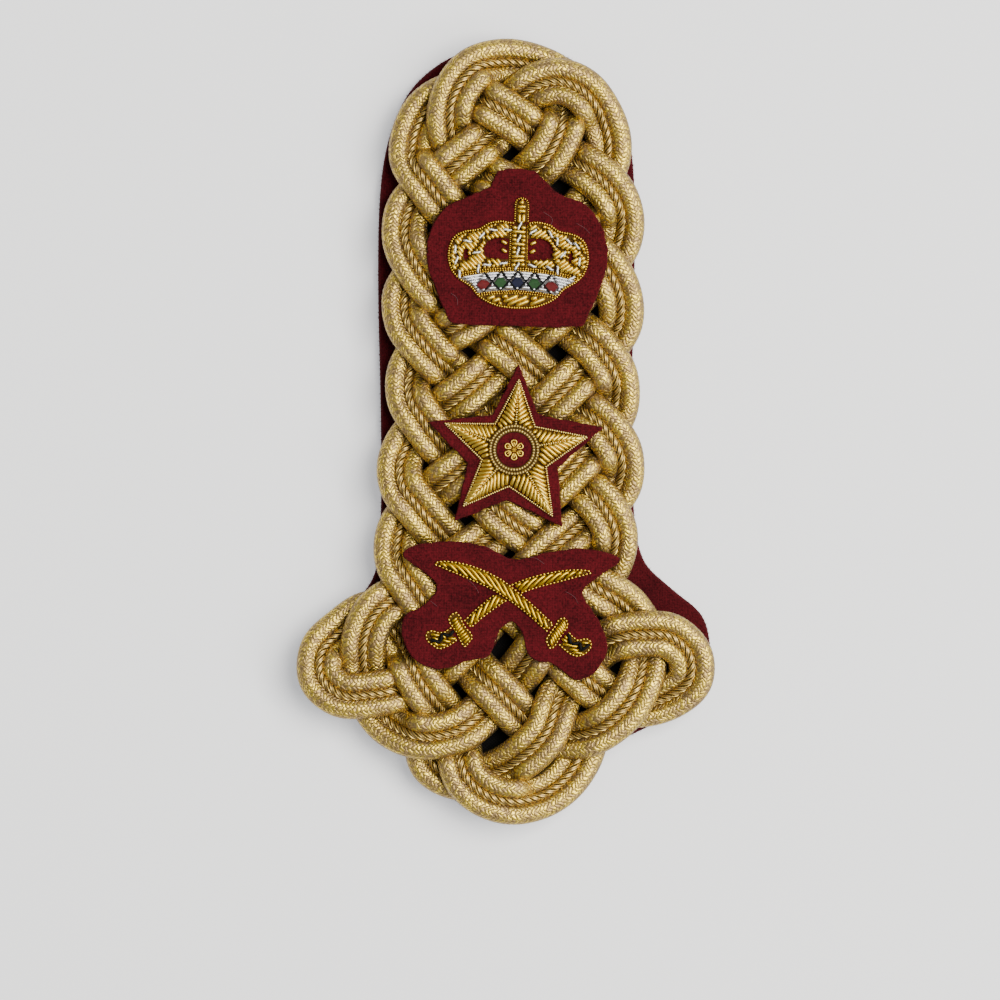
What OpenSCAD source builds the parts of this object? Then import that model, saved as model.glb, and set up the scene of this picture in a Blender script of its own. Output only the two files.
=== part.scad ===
// Plaited shoulder board, lying on its back. X runs across the board, +Y towards the round
// collar end and +Z up out of the face. The origin is at the middle of the underside.

/* [Board] */
// Thickness of the felt-covered board
board_t = 2.5; // [2:0.1:3]
// Thickness of the black underlay
underlay_t = 0.8; // [0.5:0.1:1]
// How far the underlay stays inside the board's edge
underlay_inset = 6; // [5:0.5:8]

/* [Plait] */
// Width of a thick gimp cord
gimp_w = 3.2; // [3:0.1:3.4]
// Height of a thick gimp cord, a little flattened by the plaiting
gimp_h = 2.7; // [2.5:0.1:3]
// Diameter of the thin twisted cord
twist_d = 1.4; // [1:0.1:1.5]
// Distance from the thin cord's middle to a thick cord's middle
gimp_side = 2.65; // [2.6:0.05:3]
// Height of an over or under pass above or below the plait's middle
lift_h = 1.95; // [1.8:0.05:2.2]
// Length on each side of a crossing that stays level
level_run = 4.4; // [4:0.1:4.8]

/* [Patches] */
// Thickness of a felt patch
patch_t = 1.2; // [1:0.1:1.5]
// Height of the padded embroidery above the felt
stitch_h = 1.0; // [0.8:0.1:1.4]

/* [Fixing tongue] */
// Width of the cloth tongue on the back
tongue_w = 22; // [16:1:26]
// Length of the tongue
tongue_l = 100; // [80:1:110]
// Thickness of the tongue
tongue_t = 1.5; // [1:0.1:2]

/* [Hidden] */

felt_red = [0.37, 0.07, 0.09];
cloth_black = [0.05, 0.05, 0.06];
gold = [0.78, 0.64, 0.36];
deep_gold = [0.80, 0.62, 0.20];
silver = [0.80, 0.80, 0.78];

// Small clearance between neighbouring pieces
gap = 0.15;

// Heights of the layers, from the floor up
board_z = tongue_t;
underlay_z = board_z + board_t;
plait_z = underlay_z + underlay_t + gap + gimp_h / 2 + lift_h;
patch_z = plait_z + lift_h + gimp_h / 2 + gap;
stitch_z = patch_z + patch_t;

// Outline of the board, anticlockwise from the collar end's top. Columns: x, y
board_outline = [
    [1, 78], [-6, 77], [-13, 74], [-19, 68.5], [-23, 60], [-25, 49], [-25.5, 30], [-25, 5],
    [-25, -18], [-26.4, -29], [-32, -36], [-38.5, -41.5], [-40, -48], [-36.5, -55], [-28, -57.5],
    [-19.8, -62.4], [-13.5, -71], [-6, -76.5], [2, -78], [10, -76.5], [15.5, -70.5], [18.5, -64.8],
    [27.2, -60], [36, -55.5], [40.5, -49.5], [41.2, -43], [39.5, -36.8], [33.6, -31.6], [28, -26],
    [26, -17], [25.5, 5], [26, 30], [26, 49], [24.5, 61], [20, 69], [12, 75.5]
];

// Outline of the crown's felt, anticlockwise. Columns: x, y
crown_felt = [
    [5.5, 52], [-1, 52], [-3, 49], [-7, 47], [-12, 44.5], [-15, 39.5], [-15.5, 33.5], [-13.5, 27.5],
    [-11, 22], [-10, 21.5], [2, 21], [15, 21], [16.5, 23], [19.5, 30], [20.5, 36], [19, 41.5],
    [15.5, 45.5], [10.5, 47.5], [8, 50]
];

// Outline of the sabres' felt, anticlockwise. Columns: x, y
sabre_felt = [
    [23, -25.5], [17, -23.5], [9, -24], [2, -25.5], [-4, -23], [-10, -22], [-17, -22.5],
    [-20.5, -24.5], [-17, -27.5], [-13.5, -31], [-16, -34.5], [-20, -37], [-20.5, -41],
    [-18, -45.5], [-13, -47.5], [-8, -46], [-3, -44.5], [-1, -39.5], [1.5, -38], [3.5, -40.5],
    [5, -45], [9.5, -46.5], [14.5, -49.5], [18.5, -47.5], [20.5, -43], [18.5, -37.5],
    [15.5, -32], [19.5, -28.5]
];

// Star: its middle, then the points and the notches of stitching and felt as radius and angle.
// Columns: stitched radius, stitched angle, felt radius, felt angle
star_middle = [1.8, -3.7];
star_points = [
    [14.0, 86, 17.2, 87], [6.4, 126, 8.2, 121], [14.7, 159, 18.1, 162], [6.7, 197, 9.6, 196],
    [15.0, 228, 18.5, 230], [7.3, 262, 10.1, 262], [15.2, 300, 18.1, 302], [7.2, 332, 9.5, 338],
    [14.8, 370, 18.4, 374], [6.2, 408, 8.5, 416]
];
roundel_r = 3.5;
ring_inner_r = 3.95;
ring_outer_r = 4.75;
ring_wire_r = 0.3;

// Right half of the crown's stitched outline from the stem down to the rim, from the crown's
// own middle. Columns: x, y
crown_middle = [2.6, 33];
crown_turn = -1.8;
crown_half = [
    [1.3, 8.9], [3.6, 9.0], [6.1, 8.5], [8, 7.3], [10.7, 6.8], [12.7, 5.8], [13.8, 4.0],
    [14.1, 1.3], [13.3, -1.4], [11.6, -3.2], [9.5, -4.5], [7.8, -6.4], [5.3, -7.8], [2.5, -8.5]
];
// The stem that stands on the crown, a little to the right of its middle
stem_x = 0.4;
stem_w = 2.7;
stem_foot_y = 8;
stem_top_y = 12.4;
// Openings between the arches, right side. Columns: x, y
big_window = [[1.9, 1.3], [1.9, 5.3], [4.6, 5.5], [6.2, 4.7], [7, 3.2], [6.8, 1.9], [5.5, 1.3]];
small_window = [[9.9, 1.5], [10.3, 3.4], [10.8, 2.7], [11, 1.5], [10.5, 0.8]];
// The band of the crown lies between two arcs about one far point below it
band_centre_y = -46.7;
band_top_r = 45.6;
band_foot_r = 41.5;
lozenge_r = 43.2;
lozenge_step = 3.35;
lozenge_size = 1.25;

// Middle line of each blade from the hilt to the tip. Columns: x, y, width
over_blade = [
    [8.9, -39.1, 2.2], [4, -34.7, 2.4], [-1.4, -30.7, 2.9], [-7, -28.1, 2.9], [-11.6, -26.7, 1.9],
    [-13.8, -26.4, 0.8]
];
under_blade = [
    [-7.4, -38.4, 2.2], [-4.6, -35.9, 2.4], [0, -32.6, 2.6], [5, -30.4, 2.6], [10.5, -29, 2.4],
    [14.5, -28.3, 1.7], [17, -28.1, 0.8]
];
// Ends of each guard, and the middle line of each grip
over_guard = [[11.8, -37.3, 2.0], [10.4, -40.2, 2.4], [8.8, -42.8, 2.0]];
under_guard = [[-10.6, -36.4, 2.0], [-9.2, -39.6, 2.4], [-7.6, -42.6, 2.0]];
over_grip = [[11.4, -41.4, 2.4], [13.2, -42.8, 3.0], [15.2, -43.1, 3.2], [17, -42.1, 2.0]];
under_grip = [[-10.3, -41.5, 2.6], [-12.3, -41.9, 3.1], [-14.2, -41.6, 3.0], [-15.6, -40.9, 1.8]];

// Route of the plait: the middle of the triple cord, from one hidden end to the other.
// Columns: x, y, pass (1 over, -1 under, 0 where the height just follows its neighbours)
route = [
    // start under the left skirt, then the foot's inner bend
    [-16, -61, -1], [-14.5, -66.5, -1], [-7.5, -69.5, -1], [-1.5, -68, 0], [3.5, -65, 0],
    [8, -60.5, 1], [11, -53, 0], [14.5, -48, -1],
    // right lobe and back to the left side
    [20.5, -42, 0], [27.5, -40.5, 1], [33, -41, 0], [37, -45, 0], [37, -49.5, 0], [33, -53, 0],
    [24.5, -54.5, -1], [18.5, -51.5, 0], [14.5, -48, 1], [8, -41.5, -1], [0, -33.5, 1],
    [-8.5, -25, -1], [-17.5, -15, 1],
    // fifth bend on the left, up to the second on the right
    [-20.5, -11, 0], [-21, -6.5, 0], [-19.5, -2.5, 0], [-16, 1.5, -1], [-7, 8.5, 1],
    [1.5, 16, -1], [10, 23.5, 1], [19.5, 33.5, -1], [22.7, 38, 0], [23.3, 42.5, 0], [22.2, 46.5, 0],
    [19, 50.5, 1], [9.5, 56.5, -1], [0.5, 63.5, 1], [-10, 67.5, -1],
    // first bend on the left, down to the fourth on the right
    [-15, 65, -0.9], [-18, 60, -0.9], [-18.5, 54.5, 0], [-15, 49, 1], [-7.5, 40, -1],
    [2.5, 30.5, 1], [10, 23.5, -1], [19, 16, 1], [22, 11, 0], [22.2, 5.5, 0], [20, 0.5, -1],
    [12, -8.5, 1], [1, -18, -1], [-8.5, -25, 1], [-18, -31.5, -1],
    // left shoulder and skirt, up to the sixth bend on the right
    [-26, -36.5, 1], [-28.3, -42, 0], [-28.3, -47.5, 0], [-27, -53, -1], [-23, -58.5, -0.8],
    [-16, -61, 1], [-10, -60, 1], [-1, -52.5, -1], [8, -41.5, 1], [18, -31, -1], [21, -26, 0],
    [22, -20.5, 0], [19.5, -15, 1], [12, -8.5, -1], [2, -0.5, 1], [-7, 8.5, -1], [-16, 17, 1],
    // third bend on the left, up to the collar end
    [-19.5, 22, 0], [-20, 27, 0], [-17, 32, -1], [-7.5, 40, 1], [1.5, 48.5, -1], [9.5, 56.5, 1],
    [12, 64, 0], [11, 70, -1], [6, 73, -0.9], [0, 74, 0], [-6, 72.5, 0], [-10, 67.5, 1],
    [-11, 60.5, 0.2], [-8.5, 54.5, -1], [1.5, 48.5, 1], [12, 40, -1], [19.5, 33.5, 1],
    // third bend on the right, down to the sixth on the left
    [22.5, 28.5, 0], [23, 22, 0], [19, 16, -1], [11, 7.5, 1], [2, -0.5, -1], [-8.5, -7.5, 1],
    [-17.5, -15, -1], [-21, -19.5, 0], [-21.5, -25.5, 0], [-18, -31.5, 1],
    // down through the middle to the right skirt and back up
    [-12.5, -39.5, -0.8], [-9.5, -43.5, -1], [-1, -52.5, 1], [8, -60.5, -1], [16.5, -60.5, 0],
    [24.5, -54.5, 1], [27.5, -48, 0], [27.5, -40.5, -1], [24.5, -35.5, 0], [18, -31, 1], [9.5, -23.5, -1],
    [1, -18, 1], [-8.5, -7.5, -1], [-16, 1.5, 1],
    // fourth bend on the left, up to the first on the right
    [-19, 6.5, 0], [-19, 12, 0], [-16, 17, -1], [-7, 22.5, 1], [2.5, 30.5, -1], [12, 40, 1],
    [19, 50.5, -1], [20.8, 57, 0], [18.9, 63.6, 0], [15.6, 68, 0], [11, 70, 1], [5, 68.5, 0.4],
    [0.5, 63.5, -1], [-2, 60, 0], [-8.5, 54.5, 1], [-15, 49, -1],
    // second bend on the left, down to the fifth on the right
    [-19, 45, 0], [-20, 39, 0], [-17, 32, 1], [-7, 22.5, -1], [1.5, 16, 1], [11, 7.5, -1],
    [20, 0.5, 1], [23, -4.5, 0], [23, -10, 0], [19.5, -15, -1], [9.5, -23.5, 1],
    [0, -33.5, -1], [-9.5, -43.5, 1], [-17, -50, -1], [-26.5, -52.5, 1],
    // left lobe, then the foot's outer bend and the other hidden end
    [-33, -52.5, 0], [-36.8, -49, 0], [-36.6, -44, 0], [-32.8, -40, 0], [-26, -36.5, -1],
    [-22, -40.5, -1], [-17, -50, 1], [-10, -60, -1], [-7.5, -69.5, 1], [-4, -72.5, 0],
    [1.5, -74, 0], [7, -73, 0], [12, -69.5, 0], [14.8, -65.3, -1]
];
last = len(route) - 1;
gimp_sides = 8;
twist_sides = 5;
long_span = 8.5;
short_span = 5.2;
// At both tucked ends the inner cord is cut short at one of these rows, under its neighbours
inner_start = 2;
inner_end = last - 1;

function flat(p) = [p[0], p[1]];
function leg(i) = flat(route[i + 1]) - flat(route[i]);
leg_len = [for (i = [0 : last - 1]) norm(leg(i))];

// Running length of the route up to each row
function run_to(i, sum = 0, k = 0) = k == i ? sum : run_to(i, sum + leg_len[k], k + 1);
run = [for (i = [0 : last]) run_to(i)];

// Direction of the route at each row, weighted to the shorter neighbour
function heading(i) =
    i == 0 ? leg(0) / leg_len[0] :
    i == last ? leg(last - 1) / leg_len[last - 1] :
    (leg(i - 1) / leg_len[i - 1] * leg_len[i] + leg(i) / leg_len[i] * leg_len[i - 1])
        / (leg_len[i - 1] + leg_len[i]);
headings = [for (i = [0 : last]) heading(i)];

// Cubic curve between row i and the next one, and its direction, at share u of the way
function spot(i, u) =
    (2 * u ^ 3 - 3 * u ^ 2 + 1) * flat(route[i]) + (3 * u ^ 2 - 2 * u ^ 3) * flat(route[i + 1])
    + leg_len[i] * ((u ^ 3 - 2 * u ^ 2 + u) * headings[i] + (u ^ 3 - u ^ 2) * headings[i + 1]);
function aim(i, u) =
    (6 * u ^ 2 - 6 * u) * (flat(route[i]) - flat(route[i + 1]))
    + leg_len[i] * ((3 * u ^ 2 - 4 * u + 1) * headings[i] + (3 * u ^ 2 - 2 * u) * headings[i + 1]);

// Nearest row at or before i, and at or after i, where the route crosses itself
function crossing_before(i) = route[i][2] != 0 ? i : crossing_before(i - 1);
function crossing_after(i) = route[i][2] != 0 ? i : crossing_after(i + 1);

// Height of the route: level near each crossing, with a smooth step on the way to the next
function ease(t) = let (c = min(1, max(0, t))) c * c * (3 - 2 * c);
function height(i, u) =
    let (
        a = crossing_before(i), b = crossing_after(i + 1),
        hold = min(level_run, 0.4 * (run[b] - run[a])),
        t = (run[i] + u * leg_len[i] - run[a] - hold) / (run[b] - run[a] - 2 * hold)
    ) plait_z + lift_h * (route[a][2] + (route[b][2] - route[a][2]) * ease(t));

// Rings of a tube: two inside each long span, and the rows and halfways of the short ones
function ring_shares(i) =
    leg_len[i] > long_span ? (route[i][2] == 0 || i == 0 ? [0, 0.3, 0.7] : [0.3, 0.7]) :
    leg_len[i] > short_span ? [0, 0.5] : [0];
function rings(first, final) =
    concat([for (i = [first : final - 1]) for (u = ring_shares(i)) [i, u]], [[final - 1, 1]]);

// One ring: an ellipse across the route, shifted to one side of it
function ring_points(i, u, side, w, h, sides) =
    let (d = aim(i, u), across = [-d[1], d[0]] / norm(d), c = spot(i, u) + side * across)
    [for (k = [0 : sides - 1])
        let (a = 360 * (k + 0.5) / sides)
        let (e = c + across * w / 2 * cos(a))
        [e[0], e[1], height(i, u) + h / 2 * sin(a)]];

// A cord from one row of the route to another
module swept_cord(first, final, side, w, h, sides) {
    rows = rings(first, final);
    points = [for (r = rows) each ring_points(r[0], r[1], side, w, h, sides)];
    count = len(rows);
    walls = [for (r = [0 : count - 2], k = [0 : sides - 1])
        let (a = r * sides + k, b = r * sides + (k + 1) % sides)
        [a, a + sides, b + sides, b]];
    start = [for (k = [0 : sides - 1]) k];
    end = [for (k = [sides - 1 : -1 : 0]) (count - 1) * sides + k];
    polyhedron(points, concat(walls, [start, end]), convexity = 20);
}

// Closed smooth curve through the points of an outline, as a polygon
function smooth_outline(p, steps) =
    let (n = len(p))
    [for (i = [0 : n - 1], k = [0 : steps - 1])
        let (
            a = p[(i + n - 1) % n], b = p[i], c = p[(i + 1) % n], d = p[(i + 2) % n], u = k / steps,
            m = (c - a) / (norm(c - b) + norm(b - a)) * norm(c - b),
            q = (d - b) / (norm(d - c) + norm(c - b)) * norm(c - b)
        )
        (2 * u ^ 3 - 3 * u ^ 2 + 1) * b + (u ^ 3 - 2 * u ^ 2 + u) * m
            + (3 * u ^ 2 - 2 * u ^ 3) * c + (u ^ 3 - u ^ 2) * q];

// The same outline moved inwards by d
function inset_outline(p, d) =
    let (n = len(p))
    [for (i = [0 : n - 1])
        let (t = p[(i + 1) % n] - p[(i + n - 1) % n])
        p[i] + d * [-t[1], t[0]] / norm(t)];

module slab(z, h) {
    translate([0, 0, z]) linear_extrude(h) children();
}

// A ribbon along a short middle line, with the line's own widths and square ends
module ribbon(line, grow = 0) {
    n = len(line);
    across = [for (i = [0 : n - 1])
        let (t = flat(line[min(i + 1, n - 1)]) - flat(line[max(i - 1, 0)])) [-t[1], t[0]] / norm(t)];
    left = [for (i = [0 : n - 1]) flat(line[i]) + across[i] * (line[i][2] / 2 + grow)];
    right = [for (i = [n - 1 : -1 : 0]) flat(line[i]) - across[i] * (line[i][2] / 2 + grow)];
    polygon(concat(left, right));
}

module fixing_tongue() {
    color(felt_red) slab(0, tongue_t) {
        translate([-tongue_w / 2, -tongue_l / 2]) square([tongue_w, tongue_l - tongue_w / 2]);
        translate([0, tongue_l / 2 - tongue_w / 2]) circle(d = tongue_w, $fn = 48);
    }
}

module backing_board() {
    color(felt_red) slab(board_z, board_t) polygon(smooth_outline(board_outline, 3));
}

module underlay() {
    color(cloth_black) slab(underlay_z, underlay_t)
        polygon(smooth_outline(inset_outline(board_outline, underlay_inset), 2));
}

module gimp_cord(first, final, side) {
    color(gold) swept_cord(first, final, side * gimp_side, gimp_w, gimp_h, gimp_sides);
}

module twist_cord() {
    color(gold) swept_cord(inner_start, last, 0, twist_d, twist_d, twist_sides);
}

module crown_patch() {
    color(felt_red) slab(patch_z, patch_t) polygon(smooth_outline(crown_felt, 3));
}

module star_patch() {
    color(felt_red) slab(patch_z, patch_t) translate(star_middle)
        polygon([for (p = star_points) p[2] * [cos(p[3]), sin(p[3])]]);
}

module sabre_patch() {
    color(felt_red) slab(patch_z, patch_t) polygon(smooth_outline(sabre_felt, 3));
}

module on_crown() {
    translate([crown_middle[0], crown_middle[1], stitch_z]) rotate(crown_turn) children();
}

module crown_shape() {
    right = [for (p = crown_half) p];
    left = [for (i = [len(crown_half) - 1 : -1 : 0]) [-crown_half[i][0], crown_half[i][1]]];
    polygon(concat(left, right));
    translate([stem_x - stem_w / 2 + gap / 2, stem_foot_y]) square([stem_w - gap, stem_top_y - stem_foot_y]);
    translate([stem_x, stem_top_y]) circle(d = stem_w, $fn = 24);
}

module crown_windows() {
    for (s = [0, 1]) mirror([s, 0]) {
        polygon(big_window);
        polygon(small_window);
    }
}

module band_disc(r) {
    translate([0, band_centre_y]) circle(r, $fn = 180);
}

module crown_arches() {
    color(deep_gold) on_crown() linear_extrude(stitch_h) difference() {
        crown_shape();
        crown_windows();
        band_disc(band_top_r + gap);
    }
}

module crown_band() {
    color(silver) on_crown() linear_extrude(stitch_h / 2) difference() {
        intersection() {
            crown_shape();
            band_disc(band_top_r);
        }
        band_disc(band_foot_r);
    }
}

module crown_rim() {
    color(deep_gold) on_crown() linear_extrude(stitch_h) intersection() {
        crown_shape();
        band_disc(band_foot_r - gap);
    }
}

// A low four-sided pad of coloured stitches, number k counted from the left
module crown_lozenge(k, tint) {
    turn = (k - 3) * lozenge_step / lozenge_r * 180 / PI;
    color(tint) on_crown()
        translate([0, band_centre_y, stitch_h / 2]) rotate(-turn) translate([0, lozenge_r, 0])
            cylinder(h = stitch_h / 2, r1 = lozenge_size, r2 = lozenge_size * 0.6, $fn = 4);
}

// Each arm rises from its edges to a ridge that runs from the star's middle to the point
module star_bullion() {
    n = len(star_points);
    edge = [for (p = star_points) [p[0] * cos(p[1]), p[0] * sin(p[1])]];
    low = stitch_h * 0.4;
    points = concat(
        [for (e = edge) [e[0], e[1], 0]],
        [for (e = edge) [e[0], e[1], low]],
        [[0, 0, 0], [0, 0, stitch_h]]
    );
    foot = [for (i = [0 : n - 1]) [2 * n, i, (i + 1) % n]];
    wall = [for (i = [0 : n - 1]) [i, i + n, (i + 1) % n + n, (i + 1) % n]];
    top = [for (i = [0 : n - 1]) [2 * n + 1, (i + 1) % n + n, i + n]];
    color(deep_gold) translate([star_middle[0], star_middle[1], stitch_z]) difference() {
        polyhedron(points, concat(foot, wall, top));
        translate([0, 0, -1]) cylinder(h = stitch_h + 2, r = ring_outer_r + ring_wire_r + gap, $fn = 64);
    }
}

module star_ring(r) {
    color(deep_gold) translate([star_middle[0], star_middle[1], stitch_z + ring_wire_r])
        rotate_extrude($fn = 64) translate([r, 0]) circle(ring_wire_r, $fn = 16);
}

module star_roundel() {
    color(felt_red) translate([star_middle[0], star_middle[1], stitch_z])
        cylinder(h = stitch_h * 0.4, r = roundel_r, $fn = 64);
}

// Six round petals about a button
module rosette() {
    color(deep_gold) translate([star_middle[0], star_middle[1], stitch_z + stitch_h * 0.4])
        linear_extrude(stitch_h * 0.5) {
            circle(0.8, $fn = 24);
            for (k = [0 : 5]) rotate(60 * k + 30) translate([1.35, 0]) circle(0.75, $fn = 24);
        }
}

module sabre_piece(line) {
    color(deep_gold) slab(stitch_z, stitch_h) ribbon(line);
}

// The lower blade stops on each side of the upper one
module under_blade_cut() {
    color(deep_gold) slab(stitch_z, stitch_h) difference() {
        ribbon(under_blade);
        ribbon(over_blade, gap);
    }
}

fixing_tongue();
backing_board();
underlay();
gimp_cord(inner_start, inner_end, 1);  // gimp_cord_left
gimp_cord(0, last, -1);  // gimp_cord_right
twist_cord();
crown_patch();
star_patch();
sabre_patch();
crown_arches();
crown_band();
crown_rim();
crown_lozenge(1, "darkred");  // crown_lozenge_1
crown_lozenge(2, "darkgreen");  // crown_lozenge_2
crown_lozenge(3, "midnightblue");  // crown_lozenge_3
crown_lozenge(4, "darkgreen");  // crown_lozenge_4
crown_lozenge(5, "darkred");  // crown_lozenge_5
star_bullion();
star_ring(ring_outer_r);  // star_ring_outer
star_ring(ring_inner_r);  // star_ring_inner
star_roundel();
rosette();
sabre_piece(over_blade);  // sabre_over_blade
sabre_piece(over_guard);  // sabre_over_guard
sabre_piece(over_grip);  // sabre_over_grip
under_blade_cut();  // sabre_under_blade
sabre_piece(under_guard);  // sabre_under_guard
sabre_piece(under_grip);  // sabre_under_grip
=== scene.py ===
import bpy
import numpy as np
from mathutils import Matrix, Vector
from mathutils.geometry import delaunay_2d_cdt


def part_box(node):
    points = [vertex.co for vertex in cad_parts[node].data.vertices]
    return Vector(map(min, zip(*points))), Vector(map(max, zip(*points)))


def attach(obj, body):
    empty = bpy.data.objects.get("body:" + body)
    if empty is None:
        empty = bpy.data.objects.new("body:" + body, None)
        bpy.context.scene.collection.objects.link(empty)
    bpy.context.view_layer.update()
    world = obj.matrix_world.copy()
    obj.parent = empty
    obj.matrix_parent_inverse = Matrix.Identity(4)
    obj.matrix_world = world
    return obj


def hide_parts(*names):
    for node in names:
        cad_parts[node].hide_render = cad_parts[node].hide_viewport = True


# A plaited shoulder board lying on its back on a pale floor.
# Lengths are in millimetres here, and become metres when a mesh is made.
mm = 0.001

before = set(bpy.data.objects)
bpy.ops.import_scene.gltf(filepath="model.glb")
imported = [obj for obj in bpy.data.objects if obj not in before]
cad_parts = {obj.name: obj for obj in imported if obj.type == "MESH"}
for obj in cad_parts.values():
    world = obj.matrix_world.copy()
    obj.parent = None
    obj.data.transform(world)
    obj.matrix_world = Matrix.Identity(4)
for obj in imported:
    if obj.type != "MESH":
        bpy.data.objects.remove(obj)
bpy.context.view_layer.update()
print("frame loaded,", len(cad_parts), "nodes")


def nodeBox(name):
    return [np.array(corner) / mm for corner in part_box(name)]


def putIn(name, data):
    thing = bpy.data.objects.new(name, data)
    bpy.context.scene.collection.objects.link(thing)
    return thing


# Camera, straight above the face
view = {"middle": (-1.0, -13.7), "span": 200.0, "sharpHeight": 9.0, "distance": 1400.0, "sensor": 36.0}
clipNear, clipFar = 0.05, 20  # metres

camera = bpy.data.cameras.new("camera")
camera.sensor_width = view["sensor"]
camera.lens = view["sensor"] * view["distance"] / view["span"]
camera.clip_start, camera.clip_end = clipNear, clipFar
cameraObject = putIn("camera", camera)
cameraObject.location = Vector((*view["middle"], view["sharpHeight"] + view["distance"])) * mm
bpy.context.scene.camera = cameraObject

# Floor and light
studio = {
    "floorSize": 6.0, "floorTint": (0.955, 0.963, 0.98), "floorGlow": 0.45,
    "worldTint": (0.95, 0.97, 1.0), "worldPower": 0.33,
    "lamps": [  # place in metres, size in metres, power in watts, tint
        ((0.65, 0.2, 1.4), 1.0, 37.0, (1.0, 0.965, 0.90)),
        ((0.9, -0.35, 0.8), 0.5, 5.0, (1.0, 0.99, 0.97)),
    ],
}

for number, (place, size, power, tint) in enumerate(studio["lamps"]):
    lamp = bpy.data.lights.new("lamp." + str(number), "AREA")
    lamp.shape = "SQUARE"
    lamp.size, lamp.energy, lamp.color = size, power, tint
    holder = putIn(lamp.name, lamp)
    holder.location = place
    holder.rotation_mode = "QUATERNION"
    holder.rotation_quaternion = (-Vector(place)).to_track_quat("-Z", "Y")

world = bpy.data.worlds.new("studio")
world.use_nodes = True
sky = world.node_tree.nodes["Background"].inputs
sky["Color"].default_value = (*studio["worldTint"], 1)
sky["Strength"].default_value = studio["worldPower"]
bpy.context.scene.world = world


# Materials written as sums of numbers
class Number:
    # What one node gives. The signs +, - and * add Math nodes.

    def __init__(self, finish, socket):
        self.finish, self.socket = finish, socket

    def __add__(self, other):
        return self.finish.calc("ADD", self, other)

    def __sub__(self, other):
        return self.finish.calc("SUBTRACT", self, other)

    def __rsub__(self, other):
        return self.finish.calc("SUBTRACT", other, self)

    def __mul__(self, other):
        return self.finish.calc("MULTIPLY", self, other)


class Finish:
    # One material with short calls for its nodes

    def __init__(self, name):
        self.material = bpy.data.materials.new(name)
        self.material.use_nodes = True
        self.tree = self.material.node_tree
        self.shader = self.tree.nodes["Principled BSDF"]

    def fill(self, socket, value):
        if isinstance(value, Number):
            self.tree.links.new(value.socket, socket)
        else:
            socket.default_value = (*value, 1) if isinstance(value, tuple) else value

    def node(self, kind, output, inputs, **settings):
        made = self.tree.nodes.new(kind)
        for key, value in settings.items():
            setattr(made, key, value)
        for key, value in inputs.items():
            self.fill(made.inputs[key], value)
        return Number(self, made.outputs[output])

    def calc(self, operation, *values):
        return self.node("ShaderNodeMath", 0, dict(enumerate(values)), operation=operation)

    def mix(self, share, first, second):
        return self.node("ShaderNodeMix", 0, {0: share, 2: first, 3: second}, data_type="FLOAT")

    def tint(self, share, first, second):
        return self.node("ShaderNodeMix", 2, {0: share, 6: first, 7: second}, data_type="RGBA")

    def noise(self, where, scale, detail=2.0, rough=0.5, output="Fac"):
        inputs = {"Vector": where, "Scale": scale, "Detail": detail, "Roughness": rough}
        return self.node("ShaderNodeTexNoise", output, inputs)

    def speck(self, *values):
        where = self.node("ShaderNodeCombineXYZ", 0, dict(enumerate(values)))
        return self.node("ShaderNodeTexWhiteNoise", "Value", {"Vector": where}, noise_dimensions="3D")

    def parts(self, where):
        split = self.node("ShaderNodeSeparateXYZ", 0, {0: where}).socket.node
        return [Number(self, socket) for socket in split.outputs]

    def objectPlace(self):
        return self.node("ShaderNodeTexCoord", "Object", {})

    def lay(self):
        return self.parts(self.node("ShaderNodeUVMap", 0, {}, uv_map="lay"))[:2]

    def threads(self, where, spacing):
        # Rows of threads both ways across the board
        return [self.calc("SINE", part * spacing) for part in self.parts(where)[:2]]

    def bump(self, height, strength, distance):
        inputs = {"Height": height, "Strength": strength, "Distance": distance * mm}
        return self.node("ShaderNodeBump", 0, inputs)

    def finish(self, **sockets):
        for name, value in sockets.items():
            self.fill(self.shader.inputs[name.replace("_", " ")], value)
        return self.material


# Meshes from arrays
upward = np.array([0.0, 0.0, 1.0])


def unit(v):
    # Each vector over its own length
    return v / np.maximum(np.linalg.norm(v, axis=-1, keepdims=True), 1e-9)


def leftOf(way):
    # Level headings turned a quarter to the left: -y and x
    return np.stack([-way[..., 1], way[..., 0]], -1)


def sideways(line):
    return leftOf(unit(np.gradient(line, axis=0)))


def ringWay(ring):
    # Heading at each point of a closed line, from its neighbours
    return unit(np.roll(ring, -1, 0) - np.roll(ring, 1, 0))


def runTo(points):
    # Length of the line up to each point
    return np.concatenate([[0], np.cumsum(np.linalg.norm(np.diff(points, axis=0), axis=1))])


def raised(flat, height):
    # Level places with a height added
    return np.concatenate([flat, np.broadcast_to(height, flat.shape[:-1])[..., None]], -1)


def tube(centre, across, up, sides, wide, tall=None):
    # Ellipse round each centre: half of wide times the cosine across, half of tall times the sine up
    angle = 2 * np.pi * np.arange(sides)[:, None] / sides
    tall = wide if tall is None else tall
    return (centre[..., None, :] + np.cos(angle) * (across * wide / 2)[..., None, :]
            + np.sin(angle) * (up * tall / 2)[..., None, :])


def tubeBlock(points, length=0.0, around=0.0, finish=0):
    # Closed tubes as an array of tubes, rows, columns and x y z. The lay, a pattern's own two
    # measures, is the length, and goes from 0 to around on the way round.
    count, rows, cols = points.shape[:3]
    lay = np.zeros((count, rows, cols + 1, 2))
    lay[..., 0] = np.broadcast_to(length, (count, rows))[..., None]
    lay[..., 1] = around * np.arange(cols + 1) / cols
    return {"points": points, "lay": lay, "finish": finish}


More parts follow.
